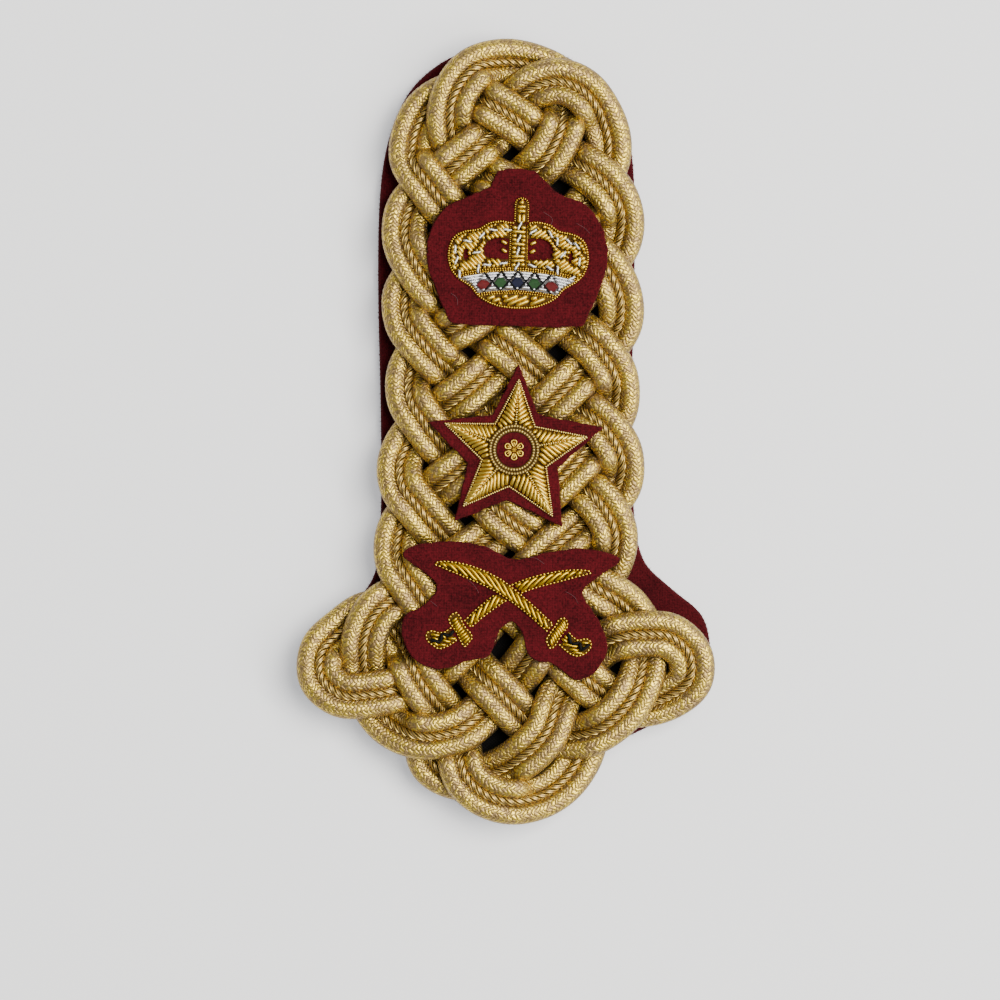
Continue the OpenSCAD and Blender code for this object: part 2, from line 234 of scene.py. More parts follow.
def tubeFaces(count, rows, cols, width):
    # Quads between neighbouring rows and columns, and an even-sided cap on each end row, of points
    # that lie width to a row
    first, row, col = np.ogrid[:count, :rows - 1, :cols]
    corners = [(first * rows + row + down) * width + (col + on) % width
               for down, on in ((0, 0), (0, 1), (1, 1), (1, 0))]
    ends = [(np.arange(count)[:, None] * rows + end) * width + order
            for end, order in ((0, np.arange(cols)[::-1]), (rows - 1, np.arange(cols)))]
    return np.stack(corners, -1).reshape(-1, 4), np.concatenate(ends)


def meshParts(block):
    # A block's places, and its faces with the lay at their corners, an array for each number of sides
    if "triangles" in block:
        corners = block["triangles"]
        return block["points"], [(corners, np.zeros(corners.shape + (2,)))]
    count, rows, cols = block["points"].shape[:3]
    lay = block["lay"].reshape(-1, 2)
    faces, laid = tubeFaces(count, rows, cols, cols), tubeFaces(count, rows, cols, cols + 1)
    return block["points"].reshape(-1, 3), [(part, lay[where]) for part, where in zip(faces, laid)]


def sixVolumes(points, parts):
    # The sum of first . (second x third) over each face's fan of triangles: six times the volume,
    # below nought where the faces look inwards
    return sum(np.einsum("ij,ikj->", points[faces[:, 0]],
                         np.cross(points[faces[:, 1:-1]], points[faces[:, 2:]]))
               for faces, lay in parts)


def makePiece(name, blocks, materials, slot, *nodes):
    # One mesh from any number of blocks
    places, loops, totals, lays, tints = [], [], [], [], []
    start = 0
    for block in blocks:
        points, parts = meshParts(block)
        turned = -1 if sixVolumes(points, parts) < 0 else 1
        places.append(points)
        for faces, lay in parts:
            loops.append(faces[:, ::turned].ravel() + start)
            lays.append(lay[:, ::turned].reshape(-1, 2))
            totals.append(np.full(len(faces), faces.shape[1]))
            tints.append(np.full(len(faces), block["finish"]))
        start += len(points)
    places, loops, totals, lays, tints = (np.concatenate(x) for x in (places, loops, totals, lays, tints))
    mesh = bpy.data.meshes.new(name)
    mesh.vertices.add(len(places))
    mesh.loops.add(len(loops))
    mesh.polygons.add(len(totals))
    mesh.vertices.foreach_set("co", (places * mm).astype(np.float32).ravel())
    mesh.loops.foreach_set("vertex_index", loops.astype(np.int32))
    for material in materials:
        mesh.materials.append(finishes[material])
    measures = {"loop_start": np.cumsum(totals) - totals, "loop_total": totals, "material_index": tints}
    for key, values in measures.items():
        mesh.polygons.foreach_set(key, values.astype(np.int32))
    mesh.polygons.foreach_set("use_smooth", np.ones(len(totals), bool))
    mesh.update(calc_edges=True)
    mesh.uv_layers.new(name="lay").data.foreach_set("uv", lays.astype(np.float32).ravel())
    mesh.validate()
    piece = putIn(name, mesh)
    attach(piece, "root")
    if nodes:
        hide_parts(*nodes)
    print(name, "with", int((totals - 2).sum()), "triangles")
    return piece


def makeFloor():
    half = studio["floorSize"] / 2
    corners = [(-half, -half, 0), (half, -half, 0), (half, half, 0), (-half, half, 0)]
    mesh = bpy.data.meshes.new("floor")
    mesh.from_pydata(corners, [], [(0, 1, 2, 3)])
    paint = Finish("floorPaint")
    dull = tuple(0.985 * x for x in studio["floorTint"])
    colour = paint.tint(paint.noise(paint.objectPlace(), 30.0), studio["floorTint"], dull)
    mesh.materials.append(paint.finish(
        Base_Color=colour, Roughness=0.8, Emission_Color=studio["worldTint"],
        Emission_Strength=studio["floorGlow"]))
    putIn("floor", mesh)


makeFloor()

# Plait: one flat run of three cords, laid over and under itself
plait = {
    "gimpSide": 2.58,  # from the thin cord's middle to a thick cord's middle
    "gimpWidth": 4.1, "gimpHeight": 3.3, "gimpStep": 0.43,
    "pressWidth": 3.6, "pressHeight": 3.0,  # a pressed cord's room where two cross
    "strands": 12, "strandLead": 0.88,  # strands each way round, and their spacing along the cord
    "strandRelief": 0.05, "endRound": 1.2, "clear": 0.02,
    "swells": ((0.012, 3.1), (0.010, 1.7)),  # unevenness of the braid: depth, and a measure of its length
    "leastDrop": 0.8, "alongRun": 9.0,  # what makes two points a crossing: height apart, and run apart
    "twistStep": 0.45, "plies": 4, "plyLead": 6.6, "plyReach": 0.5, "plySize": 0.43, "plySides": 8,
    "twistRise": 0.5,  # the thin cord lies a little above the thick cords' middles
    "lift": 1.95, "level": 4.4, "settleRounds": 360,
    "endRow": -2,  # the inner thick cord ends here, under its neighbours
}


def gimpFinish():
    # Gold gimp braid: two families of strands go round the cord both ways, each over two and
    # under two of the other, so that their short visible stretches make columns of slanted flecks.
    gold = Finish("gimpGold")
    along, round_ = gold.lay()
    where = gold.objectPlace()
    loose = gold.parts(gold.noise(where, 900.0, output="Color"))  # the strands don't lie quite evenly
    along = (loose[0] - 0.5) * 1.3 + along
    drift = loose[1] - 0.5
    first, second = round_ + along + drift, round_ - along + drift
    firstCell, secondCell = gold.calc("FLOOR", first), gold.calc("FLOOR", second)
    firstOnTop = gold.calc("LESS_THAN", gold.calc("FLOORED_MODULO", firstCell + secondCell, 4.0), 1.5)
    acrossStrand = gold.mix(firstOnTop, second, first)
    firstRun = gold.calc("FLOORED_MODULO", firstCell + second, 4.0)
    secondRun = gold.calc("FLOORED_MODULO", secondCell + first, 4.0) - 2.0
    run = gold.mix(firstOnTop, secondRun, firstRun) * 0.5

    def hump(share, power):  # 0 at both edges, 1 in the middle
        return gold.calc("POWER", gold.calc("MAXIMUM", share * (1.0 - share) * 4.0, 0.0), power)

    height = hump(gold.calc("FRACT", acrossStrand), 0.85) * hump(run, 0.6)
    runNumber = gold.calc("FLOOR", gold.mix(firstOnTop, first, second) * 0.5)
    chance = gold.speck(gold.calc("FLOOR", acrossStrand), runNumber, firstOnTop)
    patchy, blotch = gold.noise(where, 230.0, 3.0), gold.noise(where, 900.0)
    fine = gold.noise(where, 2800.0, 3.0, 0.7)
    bright = chance * 1.1 + patchy + blotch * 1.3 - 1.2
    metal = gold.tint(bright, (0.41, 0.275, 0.105), (0.90, 0.645, 0.082))
    # Painted shade: the colour turns dark brown where the strands dip, in the hollows between them and at the
    # ends of their runs
    colour = gold.tint(height * 1.3 + fine * 0.7 - 0.22, (0.27, 0.185, 0.105), metal)
    # The second measure gives the angle round the cord, whose sine is 1 on top: the sides are darkened with
    # painted shade
    top = gold.calc("SINE", round_ * (2 * np.pi / plait["strands"]))
    return gold.finish(
        Base_Color=gold.tint(top + 0.16, (0.15, 0.107, 0.078), colour), Metallic=1.0,
        Roughness=chance * -0.12 + 0.50, Normal=gold.bump(fine * 0.3 + height, 1.0, 0.11))


def twistFinish():
    # Spun gold cord: each ply shows two bright wires with a brown groove between them, and turns
    # dark grey towards its neighbours, painted shade where the plies meet. The second measure is 0
    # where a ply faces outwards.
    gold = Finish("twistGold")
    off = gold.calc("PINGPONG", gold.lay()[1], 0.5)  # 0 outwards, 0.5 towards the cord's middle
    wire = 1.0 - gold.calc("SMOOTH_MIN", gold.calc("ABSOLUTE", off - 0.135) * 12.0, 1.0, 0.3)
    where = gold.objectPlace()
    thread = gold.tint(gold.noise(where, 420.0), (0.64, 0.46, 0.12), (0.94, 0.71, 0.18))
    # The brown groove runs into painted shade: near-black grey on a ply's flanks, where it meets its
    # neighbours
    groove = gold.tint(off * 14.0 - 2.7, (0.32, 0.205, 0.085), (0.055, 0.05, 0.042))
    return gold.finish(
        Base_Color=gold.tint(wire * 1.3 - 0.05, groove, thread), Metallic=1.0, Roughness=0.47,
        Normal=gold.bump(gold.noise(where, 4000.0) * 0.2 + wire, 1.0, 0.09))


def wireFinish(name, dark, light, roughness, coilDepth):
    # Bright coiled wire: close turns across the length, with a painted highlight on each turn's top and
    # painted shade between the turns
    metal = Finish(name)
    turn = metal.calc("SINE", metal.lay()[0] * (2 * np.pi)) * 0.5 + 0.5
    cloud = metal.noise(metal.objectPlace(), 500.0)
    return metal.finish(Base_Color=metal.tint(turn * 0.7 + cloud * 0.4, dark, light), Metallic=1.0,
                        Roughness=roughness, Normal=metal.bump(turn, 0.6, coilDepth))


def feltFinish(name, dark, light):
    # Pressed wool felt: cloudy dye under dark and light specks of matted fibre, and a faint weave
    felt = Finish(name)
    where = felt.objectPlace()
    cloud = felt.noise(where, 170.0, 3.0, 0.6) - 0.5
    speck, fibre = (felt.noise(where, scale, 2.0, 0.6) - 0.5 for scale in (2300.0, 5600.0))
    rows = felt.threads(where, 12500.0)
    fine = speck * 1.9 + fibre * 0.7 + (rows[0] + rows[1]) * 0.06
    return felt.finish(
        Base_Color=felt.tint(cloud * 0.9 + fine + 0.5, dark, light), Roughness=0.95,
        Specular_IOR_Level=0.12, Sheen_Weight=0.05, Sheen_Roughness=0.5, Sheen_Tint=(0.9, 0.2, 0.22),
        Normal=felt.bump(fine, 0.9, 0.12))


def clothFinish(name, dark, light, spacing, sheen):
    # Plain weave: crossing rows of threads, over and under in turn
    cloth = Finish(name)
    where = cloth.objectPlace()
    rows = cloth.threads(where, spacing)
    weave = rows[0] * rows[1]
    return cloth.finish(
        Base_Color=cloth.tint(weave * 0.3 + cloth.noise(where, 900.0, 3.0), dark, light), Roughness=0.9,
        Specular_IOR_Level=0.1, Sheen_Weight=sheen, Normal=cloth.bump(weave, 0.5, 0.08))


def silkFinish(name, dark, light, shine):
    # Floss laid side by side: fine grain along the stitches
    silk = Finish(name)
    grain = silk.noise(silk.objectPlace(), 1800.0)
    return silk.finish(Base_Color=silk.tint(grain, dark, light), Roughness=0.6, Specular_IOR_Level=shine,
                       Normal=silk.bump(grain, 0.4, 0.05))


finishTable = (
    (wireFinish, {  # dark, light, roughness, depth of the coil
        "purlGold": ((0.54, 0.33, 0.03), (0.96, 0.69, 0.11), 0.33, 0.012),
        "bladeGold": ((0.34, 0.205, 0.012), (0.80, 0.535, 0.03), 0.36, 0.008),
        "beadGold": ((0.72, 0.46, 0.04), (0.97, 0.68, 0.09), 0.34, 0.005),
        "beadPale": ((0.76, 0.57, 0.15), (0.98, 0.80, 0.30), 0.33, 0.005),
        "purlSilver": ((0.60, 0.60, 0.62), (0.95, 0.95, 0.96), 0.30, 0.025),
    }),
    (feltFinish, {  # dark, light
        "patchFelt": ((0.025, 0.0013, 0.0025), (0.108, 0.0062, 0.0100)),
        "boardFelt": ((0.021, 0.0011, 0.0022), (0.085, 0.0050, 0.0082)),
    }),
    (clothFinish, {  # dark, light, how close the threads lie, sheen
        "underCloth": ((0.0015, 0.0015, 0.0018), (0.007, 0.006, 0.006), 9000.0, 0.0),
        "tongueCloth": ((0.025, 0.001, 0.002), (0.10, 0.005, 0.008), 7000.0, 0.1),
    }),
    (silkFinish, {  # dark, light, shine
        "silkRed": ((0.07, 0.003, 0.004), (0.19, 0.010, 0.011), 0.3),
        "silkGreen": ((0.008, 0.034, 0.008), (0.022, 0.090, 0.020), 0.3),
        "silkBlue": ((0.003, 0.004, 0.016), (0.006, 0.009, 0.042), 0.3),
        "silkBlack": ((0.002, 0.002, 0.002), (0.007, 0.007, 0.007), 0.1),
        # Padding under the gold purls: its thread colour darkened into painted shade, for the gaps between
        # the purls
        "padGold": ((0.05, 0.024, 0.004), (0.13, 0.062, 0.010), 0.1),
        "ringGold": ((0.05, 0.028, 0.006), (0.15, 0.085, 0.018), 0.2),
        "padSilver": ((0.12, 0.115, 0.115), (0.30, 0.29, 0.29), 0.1),
        "lintPale": ((0.10, 0.045, 0.05), (0.22, 0.11, 0.12), 0.1),
    }),
)
finishes = {"gimpGold": gimpFinish(), "twistGold": twistFinish()}
for makeFinish, finishRows in finishTable:
    for name, values in finishRows.items():
        finishes[name] = makeFinish(name, *values)
print("finishes made")

# Route of the plait's middle, from one hidden end to the other. Columns: x, y, pass
# (1 over, -1 under, 0 where the height just follows its neighbours)
route = np.array([
    (-16, -61, -1), (-14.5, -66.5, -1), (-7.5, -69.5, -1), (-1.5, -68, 0), (3.5, -65, 0),
    (8, -60.5, 1), (11, -53, 0), (14.5, -48, -1),
    (20.5, -42, 0), (27.5, -40.5, 1), (33, -41, 0), (37, -45, 0), (37, -49.5, 0), (33, -53, 0),
    (24.5, -54.5, -1), (18.5, -51.5, 0), (14.5, -48, 1), (8, -41.5, -1), (0, -33.5, 1),
    (-8.5, -25, -1), (-17.5, -15, 1),
    (-20.5, -11, 0), (-21, -6.5, 0), (-19.5, -2.5, 0), (-16, 1.5, -1), (-7, 8.5, 1),
    (1.5, 16, -1), (10, 23.5, 1), (19.5, 33.5, -1), (22.7, 38, 0), (23.3, 42.5, 0), (22.2, 46.5, 0),
    (19, 50.5, 1), (9.5, 56.5, -1), (0.5, 63.5, 1), (-10, 67.5, -1),
    (-15, 65, -0.9), (-18, 60, -0.9), (-18.5, 54.5, 0), (-15, 49, 1), (-7.5, 40, -1),
    (2.5, 30.5, 1), (10, 23.5, -1), (19, 16, 1), (22, 11, 0), (22.2, 5.5, 0), (20, 0.5, -1),
    (12, -8.5, 1), (1, -18, -1), (-8.5, -25, 1), (-18, -31.5, -1),
    (-26, -36.5, 1), (-28.3, -42, 0), (-28.3, -47.5, 0), (-27, -53, -1), (-23, -58.5, -0.8),
    (-16, -61, 1), (-10, -60, 1), (-1, -52.5, -1), (8, -41.5, 1), (18, -31, -1), (21, -26, 0),
    (22, -20.5, 0), (19.5, -15, 1), (12, -8.5, -1), (2, -0.5, 1), (-7, 8.5, -1), (-16, 17, 1),
    (-19.5, 22, 0), (-20, 27, 0), (-17, 32, -1), (-7.5, 40, 1), (1.5, 48.5, -1), (9.5, 56.5, 1),
    (12, 64, 0), (11, 70, -1), (6, 73, -0.9), (0, 74, 0), (-6, 72.5, 0), (-10, 67.5, 1),
    (-11, 60.5, 0.2), (-8.5, 54.5, -1), (1.5, 48.5, 1), (12, 40, -1), (19.5, 33.5, 1),
    (22.5, 28.5, 0), (23, 22, 0), (19, 16, -1), (11, 7.5, 1), (2, -0.5, -1), (-8.5, -7.5, 1),
    (-17.5, -15, -1), (-21, -19.5, 0), (-21.5, -25.5, 0), (-18, -31.5, 1),
    (-12.5, -39.5, -0.8), (-9.5, -43.5, -1), (-1, -52.5, 1), (8, -60.5, -1), (16.5, -60.5, 0),
    (24.5, -54.5, 1), (27.5, -48, 0), (27.5, -40.5, -1), (24.5, -35.5, 0), (18, -31, 1),
    (9.5, -23.5, -1), (1, -18, 1), (-8.5, -7.5, -1), (-16, 1.5, 1),
    (-19, 6.5, 0), (-19, 12, 0), (-16, 17, -1), (-7, 22.5, 1), (2.5, 30.5, -1), (12, 40, 1),
    (19, 50.5, -1), (20.8, 57, 0), (18.9, 63.6, 0), (15.6, 68, 0), (11, 70, 1), (5, 68.5, 0.4),
    (0.5, 63.5, -1), (-2, 60, 0), (-8.5, 54.5, 1), (-15, 49, -1),
    (-19, 45, 0), (-20, 39, 0), (-17, 32, 1), (-7, 22.5, -1), (1.5, 16, 1), (11, 7.5, -1),
    (20, 0.5, 1), (23, -4.5, 0), (23, -10, 0), (19.5, -15, -1), (9.5, -23.5, 1),
    (0, -33.5, -1), (-9.5, -43.5, 1), (-17, -50, -1), (-26.5, -52.5, 1),
    (-33, -52.5, 0), (-36.8, -49, 0), (-36.6, -44, 0), (-32.8, -40, 0), (-26, -36.5, -1),
    (-22, -40.5, -1), (-17, -50, 1), (-10, -60, -1), (-7.5, -69.5, 1), (-4, -72.5, 0),
    (1.5, -74, 0), (7, -73, 0), (12, -69.5, 0), (14.8, -65.3, -1), (16.2, -61.5, -1),
], float)


def cubic(steps, start, end, leave, arrive):
    # A cubic from each start to its end, which leaves and arrives with the given headings:
    # (2u^3 - 3u^2 + 1) start + (u^3 - 2u^2 + u) leave + (3u^2 - 2u^3) end + (u^3 - u^2) arrive
    u = np.linspace(0, 1, steps, endpoint=False)[:, None]
    curve = ((2 * u**3 - 3 * u**2 + 1) * start[:, None] + (u**3 - 2 * u**2 + u) * leave[:, None]
             + (3 * u**2 - 2 * u**3) * end[:, None] + (u**3 - u**2) * arrive[:, None])
    return curve.reshape(-1, start.shape[1])


def routeCurve(rows, perLeg=40):
    # Cubic between each two rows, whose headings lean to the shorter leg. Gives places, the
    # running length over the straight legs, and that length at each row.
    legs = np.diff(rows[:, :2], axis=0)
    reach = np.linalg.norm(legs, axis=1)[:, None]
    way = legs / reach
    middle = (way[:-1] * reach[1:] + way[1:] * reach[:-1]) / (reach[:-1] + reach[1:])
    heading = np.concatenate([way[:1], middle, way[-1:]])
    run = runTo(rows[:, :2])
    runs = run[:-1, None] + np.linspace(0, 1, perLeg, endpoint=False) * reach
    places = cubic(perLeg, rows[:-1, :2], rows[1:, :2], reach * heading[:-1], reach * heading[1:])
    return places, runs.ravel(), run


def resample(places, step, *others):
    # The same curve at even steps of its own length, with any other measures carried along
    length = runTo(places)
    at = np.linspace(0, length[-1], max(int(round(length[-1] / step)), 2) + 1)
    even = np.stack([np.interp(at, length, column) for column in places.T], 1)
    return (even, at) + tuple(np.interp(at, length, other) for other in others)


def smoothed(values, rounds):
    # Each value moved halfway to its neighbours' mean, rounds times, with the ends kept
    for _ in range(rounds):
        values = values.copy()
        values[1:-1] += 0.5 * (0.5 * (values[:-2] + values[2:]) - values[1:-1])
    return values


def passHeight(runs, rowRuns, passes, middle):
    # Level near each crossing, with a smooth step on the way to the next one
    crossing = passes != 0
    at, turn = rowRuns[crossing], passes[crossing]
    k = np.clip(np.searchsorted(at, runs, side="right") - 1, 0, len(at) - 2)
    hold = np.minimum(plait["level"], 0.4 * (at[k + 1] - at[k]))
    t = np.clip((runs - at[k] - hold) / (at[k + 1] - at[k] - 2 * hold), 0, 1)
    return middle + plait["lift"] * (turn[k] + (turn[k + 1] - turn[k]) * t * t * (3 - 2 * t))


def crossingPairs(flat, arc, height, width, atATime=500):
    # Pairs of points less than a cord's width apart that aren't neighbours along the run, with
    # the upper one first, and the room that two rounded cords need there, as a share of full
    found = []
    for start in range(0, len(flat), atATime):
        part = slice(start, start + atATime)
        gap = flat[part, None] - flat
        apart = np.hypot(gap[..., 0], gap[..., 1])
        close = (apart < width) & (np.abs(arc[part, None] - arc) > plait["alongRun"])
        upper, lower = np.nonzero(close & (height[part, None] - height > plait["leastDrop"]))
        found.append((upper + start, lower, np.sqrt(1 - (apart[upper, lower] / width) ** 2)))
    return [np.concatenate(values) for values in zip(*found)]


def settle(flat, arc, height, split, low, high):
    # Cords pulled taut over and under each other: the heights are evened along each cord, and
    # crossing cords are pushed apart again to the room that they need, many times over.
    upper, lower, share = crossingPairs(flat, arc, height, plait["pressWidth"])
    need = plait["pressHeight"] * share
    inside = np.setdiff1d(np.arange(len(height)), [0, split - 1, split, len(height) - 1])
    for _ in range(plait["settleRounds"]):
        even = 0.5 * (height[inside - 1] + height[inside + 1])
        height[inside] += 0.6 * (even - height[inside])
        short = np.maximum(need - (height[upper] - height[lower]), 0) * 0.5
        rise, drop = np.zeros_like(height), np.zeros_like(height)
        np.maximum.at(rise, upper, short)
        np.maximum.at(drop, lower, short)
        height = np.clip(height + rise - drop, low, high)
    worst = np.maximum(need - (height[upper] - height[lower]), 0).max()
    print("plait settled,", len(upper), "contacts, deepest press", round(float(worst), 2), "mm")
    return height


def cordFrame(line):
    # The level direction across a cord, and the direction square to both the cord and it
    across = raised(sideways(line[:, :2]), 0.0)
    return across, unit(np.cross(unit(np.gradient(line, axis=0)), across))


def makePlait():
    low, high = nodeBox("underlay")[1][2], nodeBox("crown_patch")[0][2]
    places, runs, rowRuns = routeCurve(route)
    flat, arc, runs = resample(places, plait["gimpStep"], runs)
    side = unit(smoothed(sideways(flat), 6))
    start = passHeight(runs, rowRuns, route[:, 2], (low + high) / 2)
    kept = (runs <= rowRuns[plait["endRow"]], np.ones(len(runs), bool))
    lanes = [flat[keep] + sign * plait["gimpSide"] * side[keep] for keep, sign in zip(kept, (1, -1))]
    split = len(lanes[0])
    room = plait["gimpHeight"] / 2 + plait["clear"]
    arcs, starts = (np.concatenate([values[keep] for keep in kept]) for values in (arc, start))
    heights = settle(np.concatenate(lanes), arcs, starts, split, low + room, high - room)
    heights = [smoothed(part, 3) for part in (heights[:split], heights[split:])]
    for name, lane, height in zip(("left", "right"), lanes, heights):
        makeGimp(name, lane, height)
    groove = sum(np.interp(arc, arc[keep], height) for keep, height in zip(kept, heights))
    makeTwist(flat, smoothed(0.5 * groove, 4) + plait["twistRise"])


def makeGimp(name, lane, height):
    # A soft round braid, a little uneven, closed with a short rounding at each end. Points lie at
    # half strand spacings both ways, and every other one, the middle of a crossing, stands out.
    line, length = resample(raised(lane, height), plait["strandLead"] / 2)
    across, up = cordFrame(line)
    sides = 2 * plait["strands"]
    angle = 2 * np.pi * np.arange(sides) / sides
    (slow, slowRun), (quick, quickRun) = plait["swells"]
    swell = 1 + slow * np.sin(length / slowRun)[:, None]
    swell = swell + quick * np.sin(length[:, None] / quickRun + 2 * angle)
    onTop = (np.arange(len(line))[:, None] + np.arange(sides)) % 2 - 0.5
    swell += plait["strandRelief"] * onTop * 2 / plait["gimpWidth"]
    fromEnd = np.minimum(length, length[-1] - length)
    closing = np.sqrt(1 - (1 - np.clip(fromEnd / plait["endRound"], 0.05, 1)) ** 2)
    ring = tube(np.zeros_like(line), across, up, sides, plait["gimpWidth"], plait["gimpHeight"])
    ring = line[:, None] + ring * (swell * closing[:, None])[..., None]
    block = tubeBlock(ring[None], np.arange(len(line)) / 2, plait["strands"])
    makePiece("gimp_" + name, [block], ["gimpGold"], "gimp_gold", "gimp_cord_" + name)


def makeTwist(flat, height):
    # Plies that wind round the cord's middle: the offset turns once for each lead
    line, length = resample(raised(flat, height), plait["twistStep"])
    across, up = cordFrame(line)
    wide = 2 * plait["plySize"]
    slant = np.arctan(2 * np.pi * plait["plyReach"] / plait["plyLead"])
    plies = []
    for number in range(plait["plies"]):
        turn = 2 * np.pi * (length / plait["plyLead"] + number / plait["plies"])[:, None]
        out, over = np.cos(turn) * across + np.sin(turn) * up, np.cos(turn) * up - np.sin(turn) * across
        middle = line + plait["plyReach"] * out
        plies.append(tube(middle, out, over, plait["plySides"], wide, wide / np.cos(slant)))
    makePiece("twist", [tubeBlock(np.stack(plies), length, 1.0)], ["twistGold"], "twist_gold", "twist_cord")


makePlait()
print("plait made")


# Flat pieces cut to an outline
def outlineOf(node, centre, level="high"):
    # Corner points of a flat solid's top or foot, in order round a centre that sees them all
    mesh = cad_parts[node].data
    points = np.zeros(len(mesh.vertices) * 3, np.float32)
    mesh.vertices.foreach_get("co", points)
    points = points.reshape(-1, 3) / mm
    z = points[:, 2].max() if level == "high" else points[:, 2].min()
    ring = np.unique(np.round(points[np.abs(points[:, 2] - z) < 0.01][:, :2], 3), axis=0)
    turn = np.arctan2(ring[:, 1] - centre[1], ring[:, 0] - centre[0])
    return ring[np.argsort(turn)]


def closedCurve(points, steps):
    # Smooth closed curve through the points, whose headings go by their neighbours
    before, after = np.roll(points, 1, 0), np.roll(points, -1, 0)
    gap = np.linalg.norm(after - points, axis=1)[:, None]
    leave = (after - before) / (gap + np.roll(gap, 1, 0)) * gap
    return cubic(steps, points, after, leave, np.roll(leave / gap, -1, 0) * gap)


def evenRing(points, count):
    # The closed line at count even steps of its length
    closed = np.concatenate([points, points[:1]])
    length = runTo(closed)
    at = np.linspace(0, length[-1], count, endpoint=False)
    return np.stack([np.interp(at, length, column) for column in closed.T], 1)


def ringReach(ring):
    return np.linalg.norm(np.roll(ring, -1, 0) - ring, axis=1).sum()


def insideRing(points, ring):
    # Whether each point has an odd number of the ring's sides to its right
    a, b = ring, np.roll(ring, -1, 0)
    x, y = points[:, None, 0], points[:, None, 1]
    crosses = (a[:, 1] > y) != (b[:, 1] > y)
    slope = (b[:, 0] - a[:, 0]) / np.where(b[:, 1] == a[:, 1], 1e-9, b[:, 1] - a[:, 1])
    return (crosses & (x < a[:, 0] + (y - a[:, 1]) * slope)).sum(1) % 2 == 1


def awayFrom(points, starts, ends=None):
    # Distance from each point to the nearest straight side: from starts to ends, or round a ring
    run = (np.roll(starts, -1, 0) if ends is None else ends) - starts
    share = ((points[:, None] - starts) * run).sum(-1) / np.maximum((run**2).sum(-1), 1e-12)
    nearest = starts + np.clip(share, 0, 1)[..., None] * run
    return np.linalg.norm(points[:, None] - nearest, axis=-1).min(1)


def waves(flat, size, depth, seed, sink):
    # Gentle unevenness: the mean of a few slanted sine waves with lengths near size
    random = np.random.default_rng(seed)
    count, total = 7, 0
    for _ in range(count):
        turn, phase = random.uniform(0, 2 * np.pi, 2)
        length = size * random.uniform(0.7, 1.6)
        onward = flat[..., 0] * np.cos(turn) + flat[..., 1] * np.sin(turn)
        total += np.sin(onward * 2 * np.pi / length + phase)
    return depth * total / count - sink


def sheetBlock(ring, low, high, edge, pitch, relief=None):
    # A flat piece cut to an outline, with an edge rounded over the depth of edge: the height rises
    # from half by the root of 1 - (1 - share)^4. The face is triangles between the outline, rows of
    # points beside it and a hexagonal field, and the underside is its copy on the same outline.
    shares = (0.08, 0.3, 0.6, 1.0)
    rows = np.concatenate([ring + edge * share * leftOf(ringWay(ring)) for share in shares])
    depths = np.repeat(shares, len(ring)) * edge
    rows = rows[insideRing(rows, ring) & (awayFrom(rows, ring) > 0.8 * depths)]
    x, y = (np.arange(ring[:, k].min(), ring[:, k].max(), pitch * (1, 0.866)[k]) for k in (0, 1))
    field = np.stack(np.meshgrid(x, y), -1)
    field[1::2, :, 0] += pitch / 2
    field = field.reshape(-1, 2)
    field = field[insideRing(field, ring) & (awayFrom(field, ring) > edge + 0.5 * pitch)]
    count = np.arange(len(ring))
    sides = np.stack([count, np.roll(count, -1)], 1)
    made = delaunay_2d_cdt(np.concatenate([ring, rows, field]).tolist(), sides.tolist(), [], 1, 1e-6)
    flat, faces = np.array([tuple(place) for place in made[0]]), np.array(made[2])
    fromRing = awayFrom(flat, ring)
    onRing, share = fromRing < 1e-3, np.clip(fromRing / edge, 0, 1)
    middle = (low + high) / 2
    rise = (high - low) / 2 * np.sqrt(1 - (1 - share) ** 4)
    top = middle + rise + (share * waves(flat, *relief) if relief else 0)
    under = np.where(onRing, np.arange(len(flat)), len(flat) + np.cumsum(~onRing) - 1)
    upper, lower = raised(flat, np.where(onRing, middle, top)), raised(flat, middle - rise)[~onRing]
    triangles = np.concatenate([faces, under[faces][:, ::-1]])
    return {"points": np.concatenate([upper, lower]), "triangles": triangles, "finish": 0}


def declareSheet(ring):
    # The cut's flat area by the shoelace sum, from its outline; it is neither kept nor returned
    after = np.roll(ring, -1, 0)
    area = abs((ring[:, 0] * after[:, 1] - after[:, 0] * ring[:, 1]).sum()) / 2 * mm**2


fibre = {
    "root": 0.15, "size": 0.056, "taper": 0.6, "rows": 4, "sides": 3,
    "lean": (-1.3, 1.3), "reach": (0.15, 0.6), "curl": (-0.5, 0.5), "climb": (-0.3, 0.4),
    "floor": 0.2, "ceiling": 0.1,  # how far inside the felt's two faces it grows
}


def fringe(ring, low, high, seed, count):
    # Loose fibres at a cut edge: thin tapered tubes that lean out of it and curl, each by its own share
    random = np.random.default_rng(seed)

    def draw(low, high):
        return random.uniform(low, high, count)[:, None, None]

    place = random.integers(0, len(ring), count)
    way = ringWay(ring)[place]
    heading = unit(draw(*fibre["lean"])[:, 0] * way - leftOf(way))
    reach = draw(*fibre["reach"])
    share = np.linspace(0, 1, fibre["rows"])[:, None]
    curl = draw(*fibre["curl"]) * leftOf(heading)[:, None]
    root = (ring[place] + fibre["root"] * leftOf(way))[:, None]
    flat = root + reach * (share * heading[:, None] + share**2 * curl)
    height = draw(low + fibre["floor"], high - fibre["ceiling"]) + reach * share * draw(*fibre["climb"])
    across = raised(leftOf(heading), 0.0)[:, None]
    thick = fibre["size"] * (1 - fibre["taper"] * share)
    return tubeBlock(tube(raised(flat, height[..., 0]), across, upward, fibre["sides"], thick))


